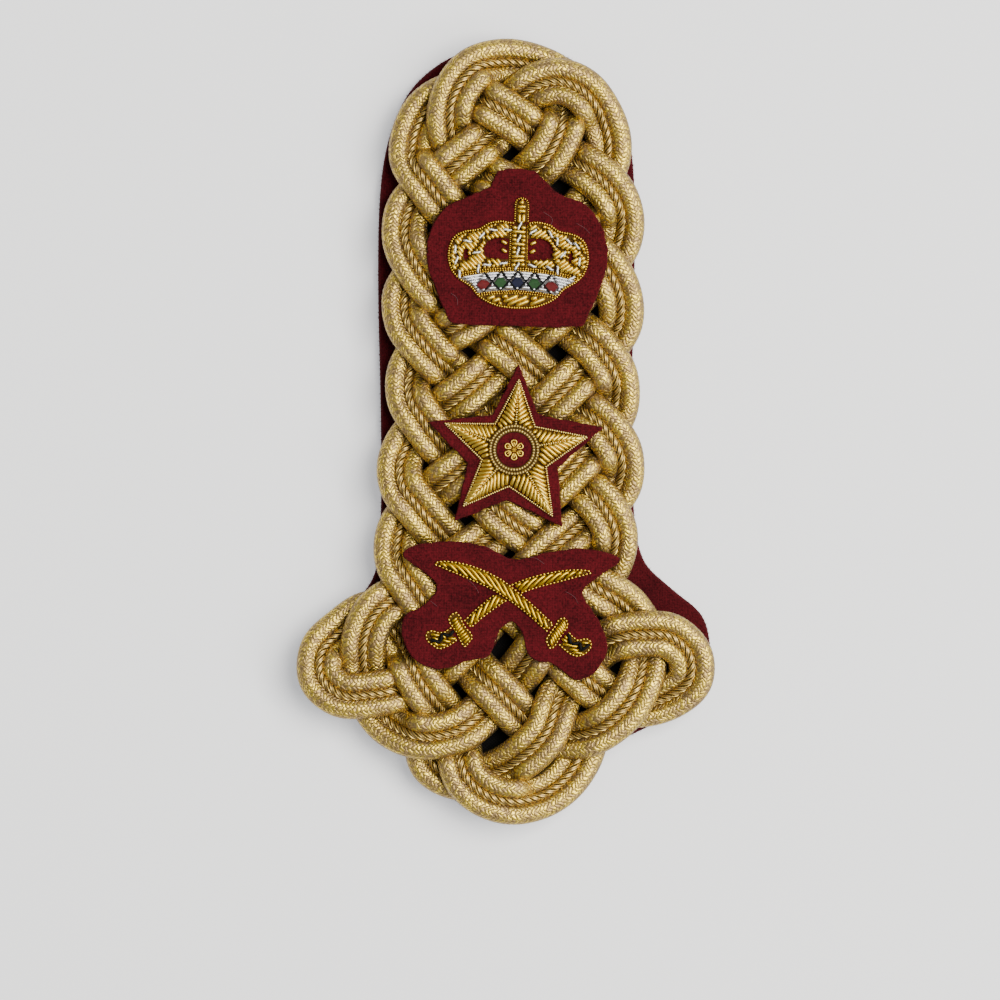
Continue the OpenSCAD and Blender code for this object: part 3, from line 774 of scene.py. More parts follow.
# Each flat piece: its node, a centre that sees all its corners, points round it, depth of its round
# edge, spacing of the points of its face, and waves by size, depth, seed and how far they sink
flats = {
    "felt_board": {
        "node": "backing_board", "centre": (0.0, -30.0), "count": 420, "edge": 1.0, "pitch": 2.4,
        "relief": (18, 0.10, 3, 0.05), "finish": "boardFelt", "fibres": ("board_fibres", 31, 2600),
    },
    "black_cloth": {
        "node": "underlay", "centre": (0.0, -30.0), "count": 300, "edge": 0.3, "pitch": 2.0,
        "relief": (9, 0.05, 5, 0.05), "finish": "underCloth", "slot": "cloth_black",
        "under": ["backing_board"],
    },
    "back_tongue": {
        "node": "fixing_tongue", "centre": (0.0, 0.0), "smooth": False, "count": 260, "edge": 0.5,
        "pitch": 2.0, "finish": "tongueCloth", "slot": "tongue_cloth", "under": ["backing_board"],
    },
}
patches = (
    ("crown", 11, (2.6, 36.0), True),
    ("star", 12, (1.8, -3.7), False),
    ("sabre", 13, (1.5, -30.0), True),
)
for name, seed, centre, smooth in patches:
    flats[name + "_felt"] = {
        "node": name + "_patch", "centre": centre, "smooth": smooth, "count": 420, "edge": 0.4, "pitch": 0.9,
        "relief": (9, 0.12, seed, 0.05), "finish": "patchFelt", "under": ["gimp_left", "gimp_right"],
        "cutSeed": seed, "fibres": (name + "_felt_fibres", seed + 20, 1100),
    }


def makeFlat(name, node, centre, count, edge, pitch, finish,
             smooth=True, relief=None, slot="felt_red", under=(), cutSeed=None, fibres=None):
    # One flat piece with its fibres. A cutSeed is for an edge cut by hand, a little unevenly.
    low, high = (corner[2] for corner in nodeBox(node))
    ring = outlineOf(node, centre)
    ring = evenRing(closedCurve(ring, 4) if smooth else ring, count)
    if cutSeed:
        wobble = smoothed(np.random.default_rng(cutSeed).normal(0, stitch["cutWobble"], count), 5)
        ring = ring - wobble[:, None] * leftOf(ringWay(ring))
    piece = makePiece(name, [sheetBlock(ring, low, high, edge, pitch, relief)], [finish], slot, node)
    if under:
        declareSheet(ring)
    if fibres:
        makePiece(fibres[0], [fringe(ring, low, high, *fibres[1:])], [finish], slot)
    return ring


# Embroidery: strings of beads and cut lengths of coiled wire
stitch = {
    "beadPitch": 0.5, "beadSize": 0.54, "beadLong": 0.74, "purlSize": 0.58, "coilPitch": 0.14,
    "beadSides": 8, "purlSides": 8, "threadStep": 0.27, "threadSize": 0.3, "threadLength": 9.0,
    "seamLong": 2.2, "seamGap": 1.3, "seamInset": 1.6, "seamSize": 0.32,
    "sunk": 0.42,  # how high a thread's middle lies over its floor, as a share of its size
    "padSunk": 0.12, "shortest": 0.45, "cutWobble": 0.14, "seamSunk": 0.04,
    "tilts": [-68, -36, 0, 36, 68],  # the rings that make a bead, in degrees from its middle
}
stitchFloor = nodeBox("star_bullion")[0][2]


def lineAt(points, step):
    # An open line through a few points as a smooth curve at even steps
    points = np.array(points, float)
    ends = np.concatenate([2 * points[:1] - points[1:2], points, 2 * points[-1:] - points[-2:-1]])
    heading = (ends[2:] - ends[:-2]) / 2
    curve = cubic(16, points[:-1], points[1:], heading[:-1], heading[1:])
    return resample(np.concatenate([curve, points[-1:]]), step)[0]


def beads(line, base, size=stitch["beadSize"], long=stitch["beadLong"]):
    # A bead at each place of the line, drawn out along it by long: rings of a ball
    way = unit(np.gradient(line, axis=0))
    tilt = np.radians(stitch["tilts"])[:, None]
    along = raised(way, 0.0)[:, None] * np.sin(tilt) * size * long / 2
    centre = raised(line, base + size * stitch["sunk"])[:, None] + along
    return tube(centre, raised(leftOf(way), 0.0)[:, None], upward, stitch["beadSides"], size * np.cos(tilt))


def beadLine(line, base, closed=False, pitch=stitch["beadPitch"], **more):
    places = evenRing(line, int(round(ringReach(line) / pitch))) if closed else resample(line, pitch)[0]
    return beads(places, base, **more)


def joined(*pointSets):
    return tubeBlock(np.concatenate(pointSets), finish=1)


def wires(flat, base, size, arch=0.12, finish=0):
    # Lengths of coiled wire along middle lines, an array of count, rows and x y. Each is bowed up
    # by a parabola as high as arch in its middle, and drawn in at both ends like a circle's quarter.
    share = np.linspace(0, 1, flat.shape[1])
    steps = np.linalg.norm(np.diff(flat, axis=1), axis=-1)
    length = np.cumsum(np.pad(steps, ((0, 0), (1, 0))), axis=1)
    fromEnd = np.minimum(length, length[:, -1:] - length) / (0.35 * size)
    thick = size * np.sqrt(1 - (1 - np.clip(fromEnd, 0.12, 1)) ** 2)
    centre = raised(flat, base + size * stitch["sunk"] + arch * 4 * share * (1 - share))
    across = raised(leftOf(unit(np.gradient(flat, axis=1))), 0.0)
    points = tube(centre, across, upward, stitch["purlSides"], thick[..., None])
    return tubeBlock(points, length / stitch["coilPitch"], 1.0, finish)


def purlBlock(starts, ends, base, finish=0, size=stitch["purlSize"], arch=0.12, bend=0.0, rows=8):
    # Straight lengths of wire, swung to one side and the other by bend
    starts, ends = np.array(starts)[:, None], np.array(ends)[:, None]
    share = np.linspace(0, 1, rows)[:, None]
    swing = bend * np.sin(2 * np.pi * share) * leftOf(unit(ends - starts))
    return wires(starts + share * (ends - starts) + swing, base, size, arch, finish)


def hatch(inside, angle, step, piece, seed, reach=16.0, grain=0.06, cut=0.16, centre=(0.0, 0.0)):
    # Parallel lines at an angle, kept where inside() holds and cut into pieces of uneven length:
    # runs of kept samples along each line become a start and an end
    random = np.random.default_rng(seed)
    way = np.array([np.cos(np.radians(angle)), np.sin(np.radians(angle))])
    t, s = np.arange(-reach, reach, grain), np.arange(-reach, reach, step)
    grid = centre + s[:, None, None] * leftOf(way) + t[:, None] * way
    length = piece * random.uniform(0.97, 1.03, len(s))[:, None]
    keep = (t + random.uniform(0, 0.3 * piece, len(s))[:, None]) % length > cut
    keep &= inside(grid.reshape(-1, 2)).reshape(keep.shape)
    edge = np.diff(np.pad(keep, ((0, 0), (1, 1))).astype(int), axis=1)
    row, first = np.nonzero(edge[:, :len(t)] == 1)
    last = np.nonzero(edge[:, 1:] == -1)[1]
    long = last - first > stitch["shortest"] / grain
    return grid[row[long], first[long]], grid[row[long], last[long]]


def padding(inside, angle, seed, place=None, finish=3, rise=0.0, **more):
    # Yellow threads laid close under the metal ones; the gold padding's colour is darkened into painted shade
    # between them
    step, length = stitch["threadStep"], stitch["threadLength"]
    starts, ends = hatch(inside, angle, step, length, seed, cut=0.05, **more)
    if place:
        starts, ends = place(starts), place(ends)
    return purlBlock(starts, ends, stitchFloor - stitch["padSunk"] + rise, finish, stitch["threadSize"], 0.0)


def ribbonEdge(line, grow=0.0):
    # Outline of a band along its middle line, whose rows are x, y and width, there and back
    path = lineAt(line, 0.1)
    side = sideways(path[:, :2]) * (path[:, 2:] / 2 + grow)
    return np.concatenate([path[:, :2] + side, (path[:, :2] - side)[::-1]])


def makeSeam(ring, height):
    # Straight stitches inside a flat piece's edge
    seam = ring + stitch["seamInset"] * leftOf(ringWay(ring))
    pitch = stitch["seamLong"] + stitch["seamGap"]
    starts = evenRing(seam, int(ringReach(seam) / pitch))
    ends = starts + stitch["seamLong"] / pitch * (np.roll(starts, -1, 0) - starts)
    dashes = purlBlock(starts, ends, height, 0, stitch["seamSize"], 0.0)
    makePiece("tongue_seam", [dashes], ["silkBlack"], "tongue_cloth")


for name, row in flats.items():
    ring = makeFlat(name, **row)
    if name == "back_tongue":
        makeSeam(ring, nodeBox(row["node"])[0][2] - stitch["seamSunk"])
print("flat pieces made")

# Crown. Places are from its own middle, before its slight turn.
crown = {
    "middle": (2.6, 33.0), "turn": -1.8,
    "half": [  # right half of the outline, from the stem down to the foot
        (1.9, 8.8), (3.6, 9.0), (6.1, 8.5), (8, 7.3), (10.7, 6.8), (12.7, 5.8), (13.8, 4.0),
        (14.1, 1.3), (13.3, -1.4), (11.6, -3.2), (9.5, -4.5), (7.8, -6.4), (5.3, -7.8), (2.5, -8.5),
    ],
    "insets": (0.25, 0.55, 0.3),  # of the beads, the purls and the padding
    "rises": {  # height of each kind of stitch over the felt
        "fill": 0.16, "chip": 0.48, "line": 0.1, "thread": 0.42, "floss": 0.26, "rim": 0.14, "knob": 0.2,
    },
    "stemBead": {"size": 0.4, "pitch": 0.46}, "columnBead": {"size": 0.34, "pitch": 0.4}, "knobSize": 0.5,
    "flossSize": 0.26, "flossArch": 0.2, "stemFoot": 9.0, "lineInset": 0.62, "bandInset": 0.4,
    "gaps": {  # room beside the column, over the band, round a chip, along its row and under the band
        "column": 0.3, "band": 0.5, "chip": 0.12, "row": 0.75, "rim": 0.6, "string": 0.3,
    },
    "padOver": 0.2, "stemPad": (10.7, 2.3),  # how far the padding runs on, and its middle and half
    "stemMiddle": 0.4, "stemHalf": 1.3, "stemArch": (12.2, 1.35),
    "columnHalf": 1.7, "columnTop": 7.6, "columnFoot": -0.7, "columnStep": 0.82,
    "bigWindow": [(1.9, 1.3), (1.9, 5.3), (4.6, 5.5), (6.2, 4.7), (7.0, 3.2), (6.8, 1.9), (5.5, 1.3)],
    "smallWindow": [(9.9, 1.5), (10.3, 3.4), (10.8, 2.7), (11.0, 1.5), (10.5, 0.8)],
    "fillAngle": 41.0, "fillStep": 0.69, "fillPiece": 3.0, "fillSize": 0.76, "fillCut": 0.22,
    "bandCentre": -46.7, "bandTop": 46.0, "bandFoot": 41.45, "bandEdge": 0.35, "lozengeRadius": 43.2,
    "lozengeStep": 3.35, "lozengeHalf": (1.2, 1.15), "lozengeThreads": 12, "lozengeFill": 0.93,
    "lozengeSlope": (1.5, 0.25),  # how its height falls off, and the least
    "endLozenge": (1.1, 0.85),  # the end ones' share of both halves
    "frameLess": 0.3, "frameMore": 0.15, "shortestLine": 0.3,
    "topCorners": ((-0.62, 0.34), (-1.1, 0.6)), "footCorner": (0.45, 0.32),  # away from the edge, half
    "rowGap": 0.42, "rowSize": 0.44, "rowPitch": 0.5,
    "rimAngle": 25.0, "rimStep": 0.88, "rimPiece": 5.2, "rimSize": 0.92,
    "lineStep": 0.58, "lineSize": 0.62, "threadSize": 0.3,
    "chipLength": 1.9, "chipSize": 0.56,
    "chips": [  # silver chips: middle and angle
        (2.8, 6.9, 45), (6.3, 6.5, -50), (7.7, 5.1, -80), (10.0, 5.1, -35), (11.6, 4.3, -40),
        (8.9, 2.5, 60), (12.2, 1.2, -85), (2.8, 0.1, -10), (6.3, -0.3, -20), (7.9, -0.6, -80),
        (10.7, -2.2, 40), (-2.4, 7.1, 5), (-5.2, 7.0, 5), (-7.4, 5.8, 60), (-10.2, 4.6, 0),
        (-12.6, 2.9, -80), (-8.3, 2.4, 20), (-12.3, 0.7, 80), (-6.2, 0.0, 10), (-3.0, 0.4, 20),
        (-7.9, -0.7, -85), (-11.6, -2.0, -75),
    ],
    "columnChips": [(0.1, 8.0, 75), (0.0, 5.4, 75), (-0.1, 2.9, 85), (-0.2, -0.1, 70)],
    "stemPurls": [  # start and end
        (-0.02, 8.5, -0.02, 10.4), (0.82, 8.6, 0.82, 10.4), (-0.45, 10.95, 1.25, 10.9),
        (-0.45, 11.75, 1.25, 11.8), (-0.1, 12.6, 0.85, 12.7), (2.3, 4.3, 3.5, 4.9),
        (-2.3, 4.3, -3.5, 4.9), (2.3, 2.6, 3.4, 3.3), (-2.3, 2.6, -3.4, 3.3),
    ],
}


def onCrown(points):
    # From the crown's own middle to the board: turned, then moved
    turn = np.radians(crown["turn"])
    points = np.array(points)
    return points * np.cos(turn) + leftOf(points) * np.sin(turn) + crown["middle"]


def crownPurls(kind, starts, ends, **more):
    return purlBlock(onCrown(starts), onCrown(ends), stitchFloor + crown["rises"][kind], **more)


def inset(ring, depth):
    # A closed line moved inwards, for a ring that runs clockwise
    return ring - depth * leftOf(ringWay(ring))


def chipEnds(rows):
    rows = np.array(rows)
    lean = np.radians(rows[:, 2])
    half = crown["chipLength"] / 2 * np.stack([np.cos(lean), np.sin(lean)], 1)
    return rows[:, :2] - half, rows[:, :2] + half


def fromBandCentre(points):
    return np.linalg.norm(points - [0, crown["bandCentre"]], axis=1)


def arcPlaces(radius, x):
    # Places on a band circle
    return np.stack([x, crown["bandCentre"] + np.sqrt(radius**2 - x**2)], 1)


def outlineReach(ring, radius):
    # Sideways places, left and right, where a band circle meets the outline
    turn = np.nonzero(np.diff(np.sign(fromBandCentre(ring) - radius)) != 0)[0]
    x = ring[turn, 0]
    return x[x < 0].max(), x[x > 0].min()


def rowBeads(ring, radius):
    # Two strings of small beads side by side along a band circle
    low, high = outlineReach(ring, radius)
    low, high = low + crown["gaps"]["string"], high - crown["gaps"]["string"]
    line = arcPlaces(radius, np.linspace(low, high, max(int((high - low) / 0.1), 2) + 1))
    side = sideways(line) * crown["rowGap"] / 2
    beading = {"size": crown["rowSize"], "pitch": crown["rowPitch"]}
    return [beadLine(onCrown(line + turn * side), stitchFloor, **beading) for turn in (-1, 1)]


def makeCrown():
    right = np.array(crown["half"])
    outline = evenRing(closedCurve(np.concatenate([right, (right * (-1, 1))[::-1]]), 6), 400)
    beadRing, fillRing, padRing = (inset(outline, depth) for depth in crown["insets"])
    windows = [np.array(crown[window]) * (side, 1)
               for window in ("bigWindow", "smallWindow") for side in (1, -1)]
    chips, gaps = chipEnds(crown["chips"]), crown["gaps"]

    def above(points, ring, gap):
        # Inside a ring, above the band and outside the windows
        keep = insideRing(points, ring) & (fromBandCentre(points) > crown["bandTop"] + gap)
        return keep & ~np.any([insideRing(points, window) for window in windows], axis=0)

    def onArches(points):
        beside = side * points[:, 0] > crown["columnHalf"] + gaps["column"]
        return above(points, fillRing, gaps["band"]) & beside & (awayFrom(points, *chips) >= gaps["chip"])

    def onPad(points):
        return above(points, padRing, -crown["padOver"])

    def onStem(points):
        middle, half = crown["stemPad"]
        return (np.abs(points - (crown["stemMiddle"], middle)) < (crown["stemHalf"] - 0.1, half)).all(1)

    gold = []
    for side, seed in ((1, 21), (-1, 22)):
        angle = 90 - side * (90 - crown["fillAngle"])
        lines = hatch(onArches, angle, crown["fillStep"], crown["fillPiece"], seed, cut=crown["fillCut"])
        gold.append(crownPurls("fill", *lines, size=crown["fillSize"], bend=0.05))

    # Rows across the column, cut short beside its chips
    rows = np.arange(crown["columnTop"], crown["columnFoot"] + 0.5, -crown["columnStep"])
    lean = 0.1 * np.sin(rows * 7.0)
    cut = np.abs(rows[:, None] - np.array(crown["columnChips"])[:, 1]).min(1) < gaps["row"]
    reach = crown["columnHalf"] - gaps["column"]
    left, right, cutLeft, cutRight = (np.stack([np.full(len(rows), x), rows + side * lean], 1)
                                      for x, side in ((-reach, -1), (reach, 1), (-0.4, 0), (0.4, 0)))
    stem = np.array(crown["stemPurls"])
    gold.append(crownPurls("fill", np.concatenate([left[~cut], left[cut], cutRight[cut], stem[:, :2]]),
                           np.concatenate([right[~cut], cutLeft[cut], right[cut], stem[:, 2:]]),
                           size=crown["fillSize"], arch=0.08))
    silver = crownPurls("chip", *chipEnds(crown["chips"] + crown["columnChips"]), finish=2,
                        size=crown["chipSize"], arch=0.1, bend=0.12)

    # Strings of beads: the two sides, round the stem, beside the column and over the band
    stemX, half = crown["stemMiddle"], crown["stemHalf"]
    top, tall = crown["stemArch"]
    turn = np.linspace(np.pi, 0, 24)
    arch = np.stack([stemX + half * np.cos(turn), top + tall * np.sin(turn)], 1)
    arch = np.concatenate([[(stemX - half, crown["stemFoot"])], arch, [(stemX + half, crown["stemFoot"])]])
    aside = beadRing[:, 0] - stemX
    upper = (fromBandCentre(beadRing) > crown["bandTop"] - 0.1) & (np.abs(aside) > half + 0.3)
    strings = [beadLine(onCrown(beadRing[upper & (side * aside > 0)]), stitchFloor) for side in (1, -1)]
    strings.append(beadLine(onCrown(arch), stitchFloor, **crown["stemBead"]))
    for x in (-crown["columnHalf"], crown["columnHalf"]):
        ends = onCrown([(x, crown["columnTop"] + 0.4), (x, crown["columnFoot"] + 0.3)])
        strings.append(beadLine(ends, stitchFloor, **crown["columnBead"]))
    strings += rowBeads(beadRing, crown["bandTop"])
    knob = onCrown([(stemX, 12.95), (stemX + 0.05, 13.2)])
    strings.append(beads(knob, stitchFloor + crown["rises"]["knob"], crown["knobSize"]))
    pads = [padding(onPad, 90.0, 24, onCrown), padding(onStem, 90.0, 25, onCrown)]
    makePiece("crown_work", gold + pads + [silver, joined(*strings)],
              ["purlGold", "beadGold", "purlSilver", "padGold"], "bullion_gold", "crown_arches")
    makeBand(outline)
    makeRim(beadRing, fillRing, padRing)


def makeBand(outline):
    # Silver lines along the band that stop at the black threads' lozenge-shaped frames
    top, foot = crown["bandTop"] - crown["bandEdge"], crown["bandFoot"] + crown["bandEdge"]
    middle, step = crown["lozengeRadius"], crown["lozengeStep"]
    centres = step * np.arange(-2, 3)
    lineRing, bandRing = inset(outline, crown["lineInset"]), inset(outline, crown["bandInset"])
    lines = []
    for radius in np.arange(top - 0.3, foot + 0.1, -crown["lineStep"]):
        reach = (top - middle) if radius > middle else (middle - foot)
        share = max(1 - abs(radius - middle) / reach, 0)
        frameHalf = (step / 2 - crown["frameLess"]) * share + crown["frameMore"]
        low, high = outlineReach(lineRing, radius)
        marks = np.concatenate([[low], (centres[:, None] + (-frameHalf, frameHalf)).ravel(), [high]])
        lines += [arcPlaces(radius, pair) for pair in marks.reshape(-1, 2)
                  if pair[1] - pair[0] > crown["shortestLine"]]
    corners = [(top + away, half) for away, half in crown["topCorners"]]
    corners.append((foot + crown["footCorner"][0], crown["footCorner"][1]))
    for x in centres:  # a short bright corner above and below each lozenge
        lines += [arcPlaces(radius, x + np.array([-half, half])) for radius, half in corners]
    lines = np.array(lines)
    silver = crownPurls("line", lines[:, 0], lines[:, 1], size=crown["lineSize"], arch=0.05)

    def onBand(points):
        aside = np.abs(fromBandCentre(points) - (top + foot) / 2)
        return insideRing(points, bandRing) & (aside < (top - foot) / 2)

    makePiece("band_lines", [silver, padding(onBand, 0.0, 26, onCrown, 1)],
              ["purlSilver", "padSilver"], "plate_silver", "crown_band")
    highs, lows = arcPlaces(top, centres), arcPlaces(foot, centres)
    threads = crownPurls("thread", np.concatenate([highs[:-1], lows[:-1]]),
                         np.concatenate([lows[1:], highs[1:]]), size=crown["threadSize"], arch=0.1)
    makePiece("band_threads", [threads], ["silkBlack"], "cloth_black")
    for number, centre in enumerate(arcPlaces(middle, centres)):
        makeLozenge(number, centre)


def makeLozenge(number, centre):
    # Satin stitch: threads side by side whose length follows a lozenge with cut corners
    colour = ("Red", "Green", "Blue", "Green", "Red")[number]
    halfX, halfY = crown["lozengeHalf"]
    if number in (0, 4):
        halfX, halfY = halfX * crown["endLozenge"][0], halfY * crown["endLozenge"][1]
    across = np.linspace(-1, 1, crown["lozengeThreads"])
    slope, least = crown["lozengeSlope"]
    tall = halfY * np.minimum(slope * (1 - np.abs(across)) + least, 1)
    x = centre[0] + across * halfX * crown["lozengeFill"]
    floss = crownPurls("floss", np.stack([x, centre[1] - tall], 1), np.stack([x, centre[1] + tall], 1),
                       size=crown["flossSize"], arch=crown["flossArch"])
    makePiece("lozenge_" + str(number + 1), [floss], ["silk" + colour], "thread_" + colour.lower(),
              "crown_lozenge_" + str(number + 1))


def makeRim(beadRing, fillRing, padRing):
    def within(ring, gap):
        return lambda points: insideRing(points, ring) & (fromBandCentre(points) < crown["bandFoot"] - gap)

    inside = within(fillRing, crown["gaps"]["rim"])
    lines = hatch(inside, crown["rimAngle"], crown["rimStep"], crown["rimPiece"], 23, cut=0.3)
    fill = crownPurls("rim", *lines, size=crown["rimSize"])
    lower = beadRing[fromBandCentre(beadRing) < crown["bandTop"] - 0.1]
    lower = lower[np.argsort(-lower[:, 0])]
    strings = [beadLine(onCrown(lower), stitchFloor)] + rowBeads(beadRing, crown["bandFoot"])
    pad = padding(within(padRing, 0.0), 90.0, 27, onCrown, 2)
    makePiece("rim_work", [fill, joined(*strings), pad], ["purlGold", "beadGold", "padGold"],
              "bullion_gold", "crown_rim")


# Star
star = {
    "perEdge": 11, "lean": 0.27, "ridge": 0.5, "size": 0.74, "ringSize": 0.56, "ringPitch": 0.56,
    "petalIn": 0.6, "petalOut": 1.35, "petalWide": 0.5, "petalSize": 0.32, "petalTurn": 30.0,
    "spoke": (0.95, 1.6, 8), "spokeDome": 0.08, "petalRise": 0.02, "spokeRise": 0.04,
    "knotRise": 0.1, "buttonRise": 0.2, "buttonHalf": 0.01,
    "tipAway": 10.0, "holeMore": 0.15, "armOut": 0.6, "first": 0.45, "spill": 0.92, "spillShort": 0.3,
    "midribFrom": 0.8, "topLess": 0.1, "padInset": 0.2, "padHole": 0.4, "padAngle": 15.0,
    "roundel": {"edge": 0.15, "pitch": 0.6, "relief": (3, 0.04, 9, 0.0)},
    "short": 0.42, "foot": 0.12, "arch": 0.22, "bend": 0.05, "rows": 10,
    "edgePitch": 0.45, "midribPitch": 0.46, "ringInset": 0.3, "ringRise": 0.42, "coreSize": 0.84,
    "knotReach": 0.36, "knotSize": 0.36, "buttonSize": 0.5,
}


def circle(angle):
    # Places on a circle of radius 1
    return np.stack([np.cos(angle), np.sin(angle)], -1)


def discOf(node):
    # Radius and heights of an upright round solid
    low, high = nodeBox(node)
    return (high[0] - low[0]) / 2, low[2], high[2]


def makeStar():
    middle = np.array(flats["star_felt"]["centre"])
    corners = outlineOf("star_bullion", middle, "low")
    hole = discOf("star_ring_outer")[0] + star["holeMore"]
    corners = corners[np.linalg.norm(corners - middle, axis=1) > hole + star["armOut"]]
    starts, ends, midribs = [], [], []
    share = (np.arange(star["perEdge"]) + star["first"])[:, None] / star["perEdge"]
    inwards = share + star["lean"]
    spill = np.clip((inwards - 1) / star["lean"], 0, 1)
    for tip in np.nonzero(np.linalg.norm(corners - middle, axis=1) > star["tipAway"])[0]:
        # Purls lean from each edge of the arm to its midrib, and the last ones on to the hole's edge
        point = corners[tip]
        inward = unit(middle - point)
        root = middle - inward * hole
        for neighbour in (tip - 1, (tip + 1) % len(corners)):
            notch = corners[neighbour]
            edge = point + share * (notch - point)
            rib = point + np.minimum(inwards, 1) * (root - point)
            rib += spill * (middle - unit(middle - notch) * hole - root) * star["spill"]
            towards = unit(rib - edge)
            starts.append(edge + towards * star["short"])
            ends.append(rib - towards * (star["short"] - star["spillShort"] * spill))
        midrib = np.stack([point + inward * star["midribFrom"], root])
        midribs.append(beadLine(midrib, stitchFloor + star["ridge"], pitch=star["midribPitch"]))
    rise = star["ridge"] - star["topLess"]
    climb = stitchFloor + star["foot"] + rise * np.linspace(0, 1, star["rows"])
    fill = purlBlock(np.concatenate(starts), np.concatenate(ends), climb,
                     **{key: star[key] for key in ("size", "arch", "bend", "rows")})
    padRing = evenRing(corners, 400)

    def onArms(points):
        return insideRing(points, padRing) & (awayFrom(points, padRing) > star["padInset"]) & (
            np.linalg.norm(points - middle, axis=1) > hole - star["padHole"])

    edging = beadLine(evenRing(corners, 2000), stitchFloor, True, pitch=star["edgePitch"])
    pad = padding(onArms, star["padAngle"], 28, None, 2, centre=middle)
    makePiece("star_work", [fill, joined(edging, *midribs), pad], ["purlGold", "beadPale", "padGold"],
              "bullion_gold", "star_bullion")
    around = circle(np.linspace(0, 2 * np.pi, 240, endpoint=False))
    for side in ("outer", "inner"):
        radius = discOf("star_ring_" + side)[0] - star["ringInset"]
        string = beadLine(middle + radius * around, stitchFloor + star["ringRise"], True,
                          size=star["ringSize"], pitch=star["ringPitch"])
        lap = np.concatenate([around, around[:3]])
        core = wires((middle + radius * lap)[None], stitchFloor, star["coreSize"], 0.0, 1)
        makePiece(side + "_ring", [tubeBlock(string), core], ["beadPale", "ringGold"], "bullion_gold",
                  "star_ring_" + side)
    radius, low, high = discOf("star_roundel")
    sheet = sheetBlock(middle + radius * around, low, high, **star["roundel"])
    makePiece("roundel_felt", [sheet], ["patchFelt"], "felt_red", "star_roundel")


def makeRosette():
    # Six petals, each a loop of coiled wire: it goes out and back as a sine while it swings to one
    # side and the other as a sine twice as fast, with a straight length inside and beads in the middle
    low, high = nodeBox("rosette")
    middle, floor = (low + high)[:2] / 2, low[2]
    t = np.linspace(0, 1, 26)[:, None]
    out = star["petalIn"] + star["petalOut"] * np.sin(np.pi * t)
    aside = star["petalWide"] * np.sin(2 * np.pi * t)
    sixths = np.radians(60 * np.arange(6))
    heading = circle(sixths + np.radians(star["petalTurn"]))[:, None]
    loops = middle + out * heading + aside * leftOf(heading)
    inner = middle + np.linspace(*star["spoke"])[:, None] * heading
    knot = beads(middle + star["knotReach"] * circle(sixths), floor + star["knotRise"], star["knotSize"])
    half = star["buttonHalf"]
    button = beads(middle + np.array([(-half, 0), (half, 0)]), floor + star["buttonRise"], star["buttonSize"])
    makePiece("rosette_work", [wires(loops, floor + star["petalRise"], star["petalSize"], 0.0),
                               wires(inner, floor + star["spokeRise"], star["petalSize"], star["spokeDome"]),
                               joined(knot, button)],
              ["purlGold", "beadGold"], "bullion_gold", "rosette")


makeCrown()
print("crown made")
makeStar()
makeRosette()
print("star made")

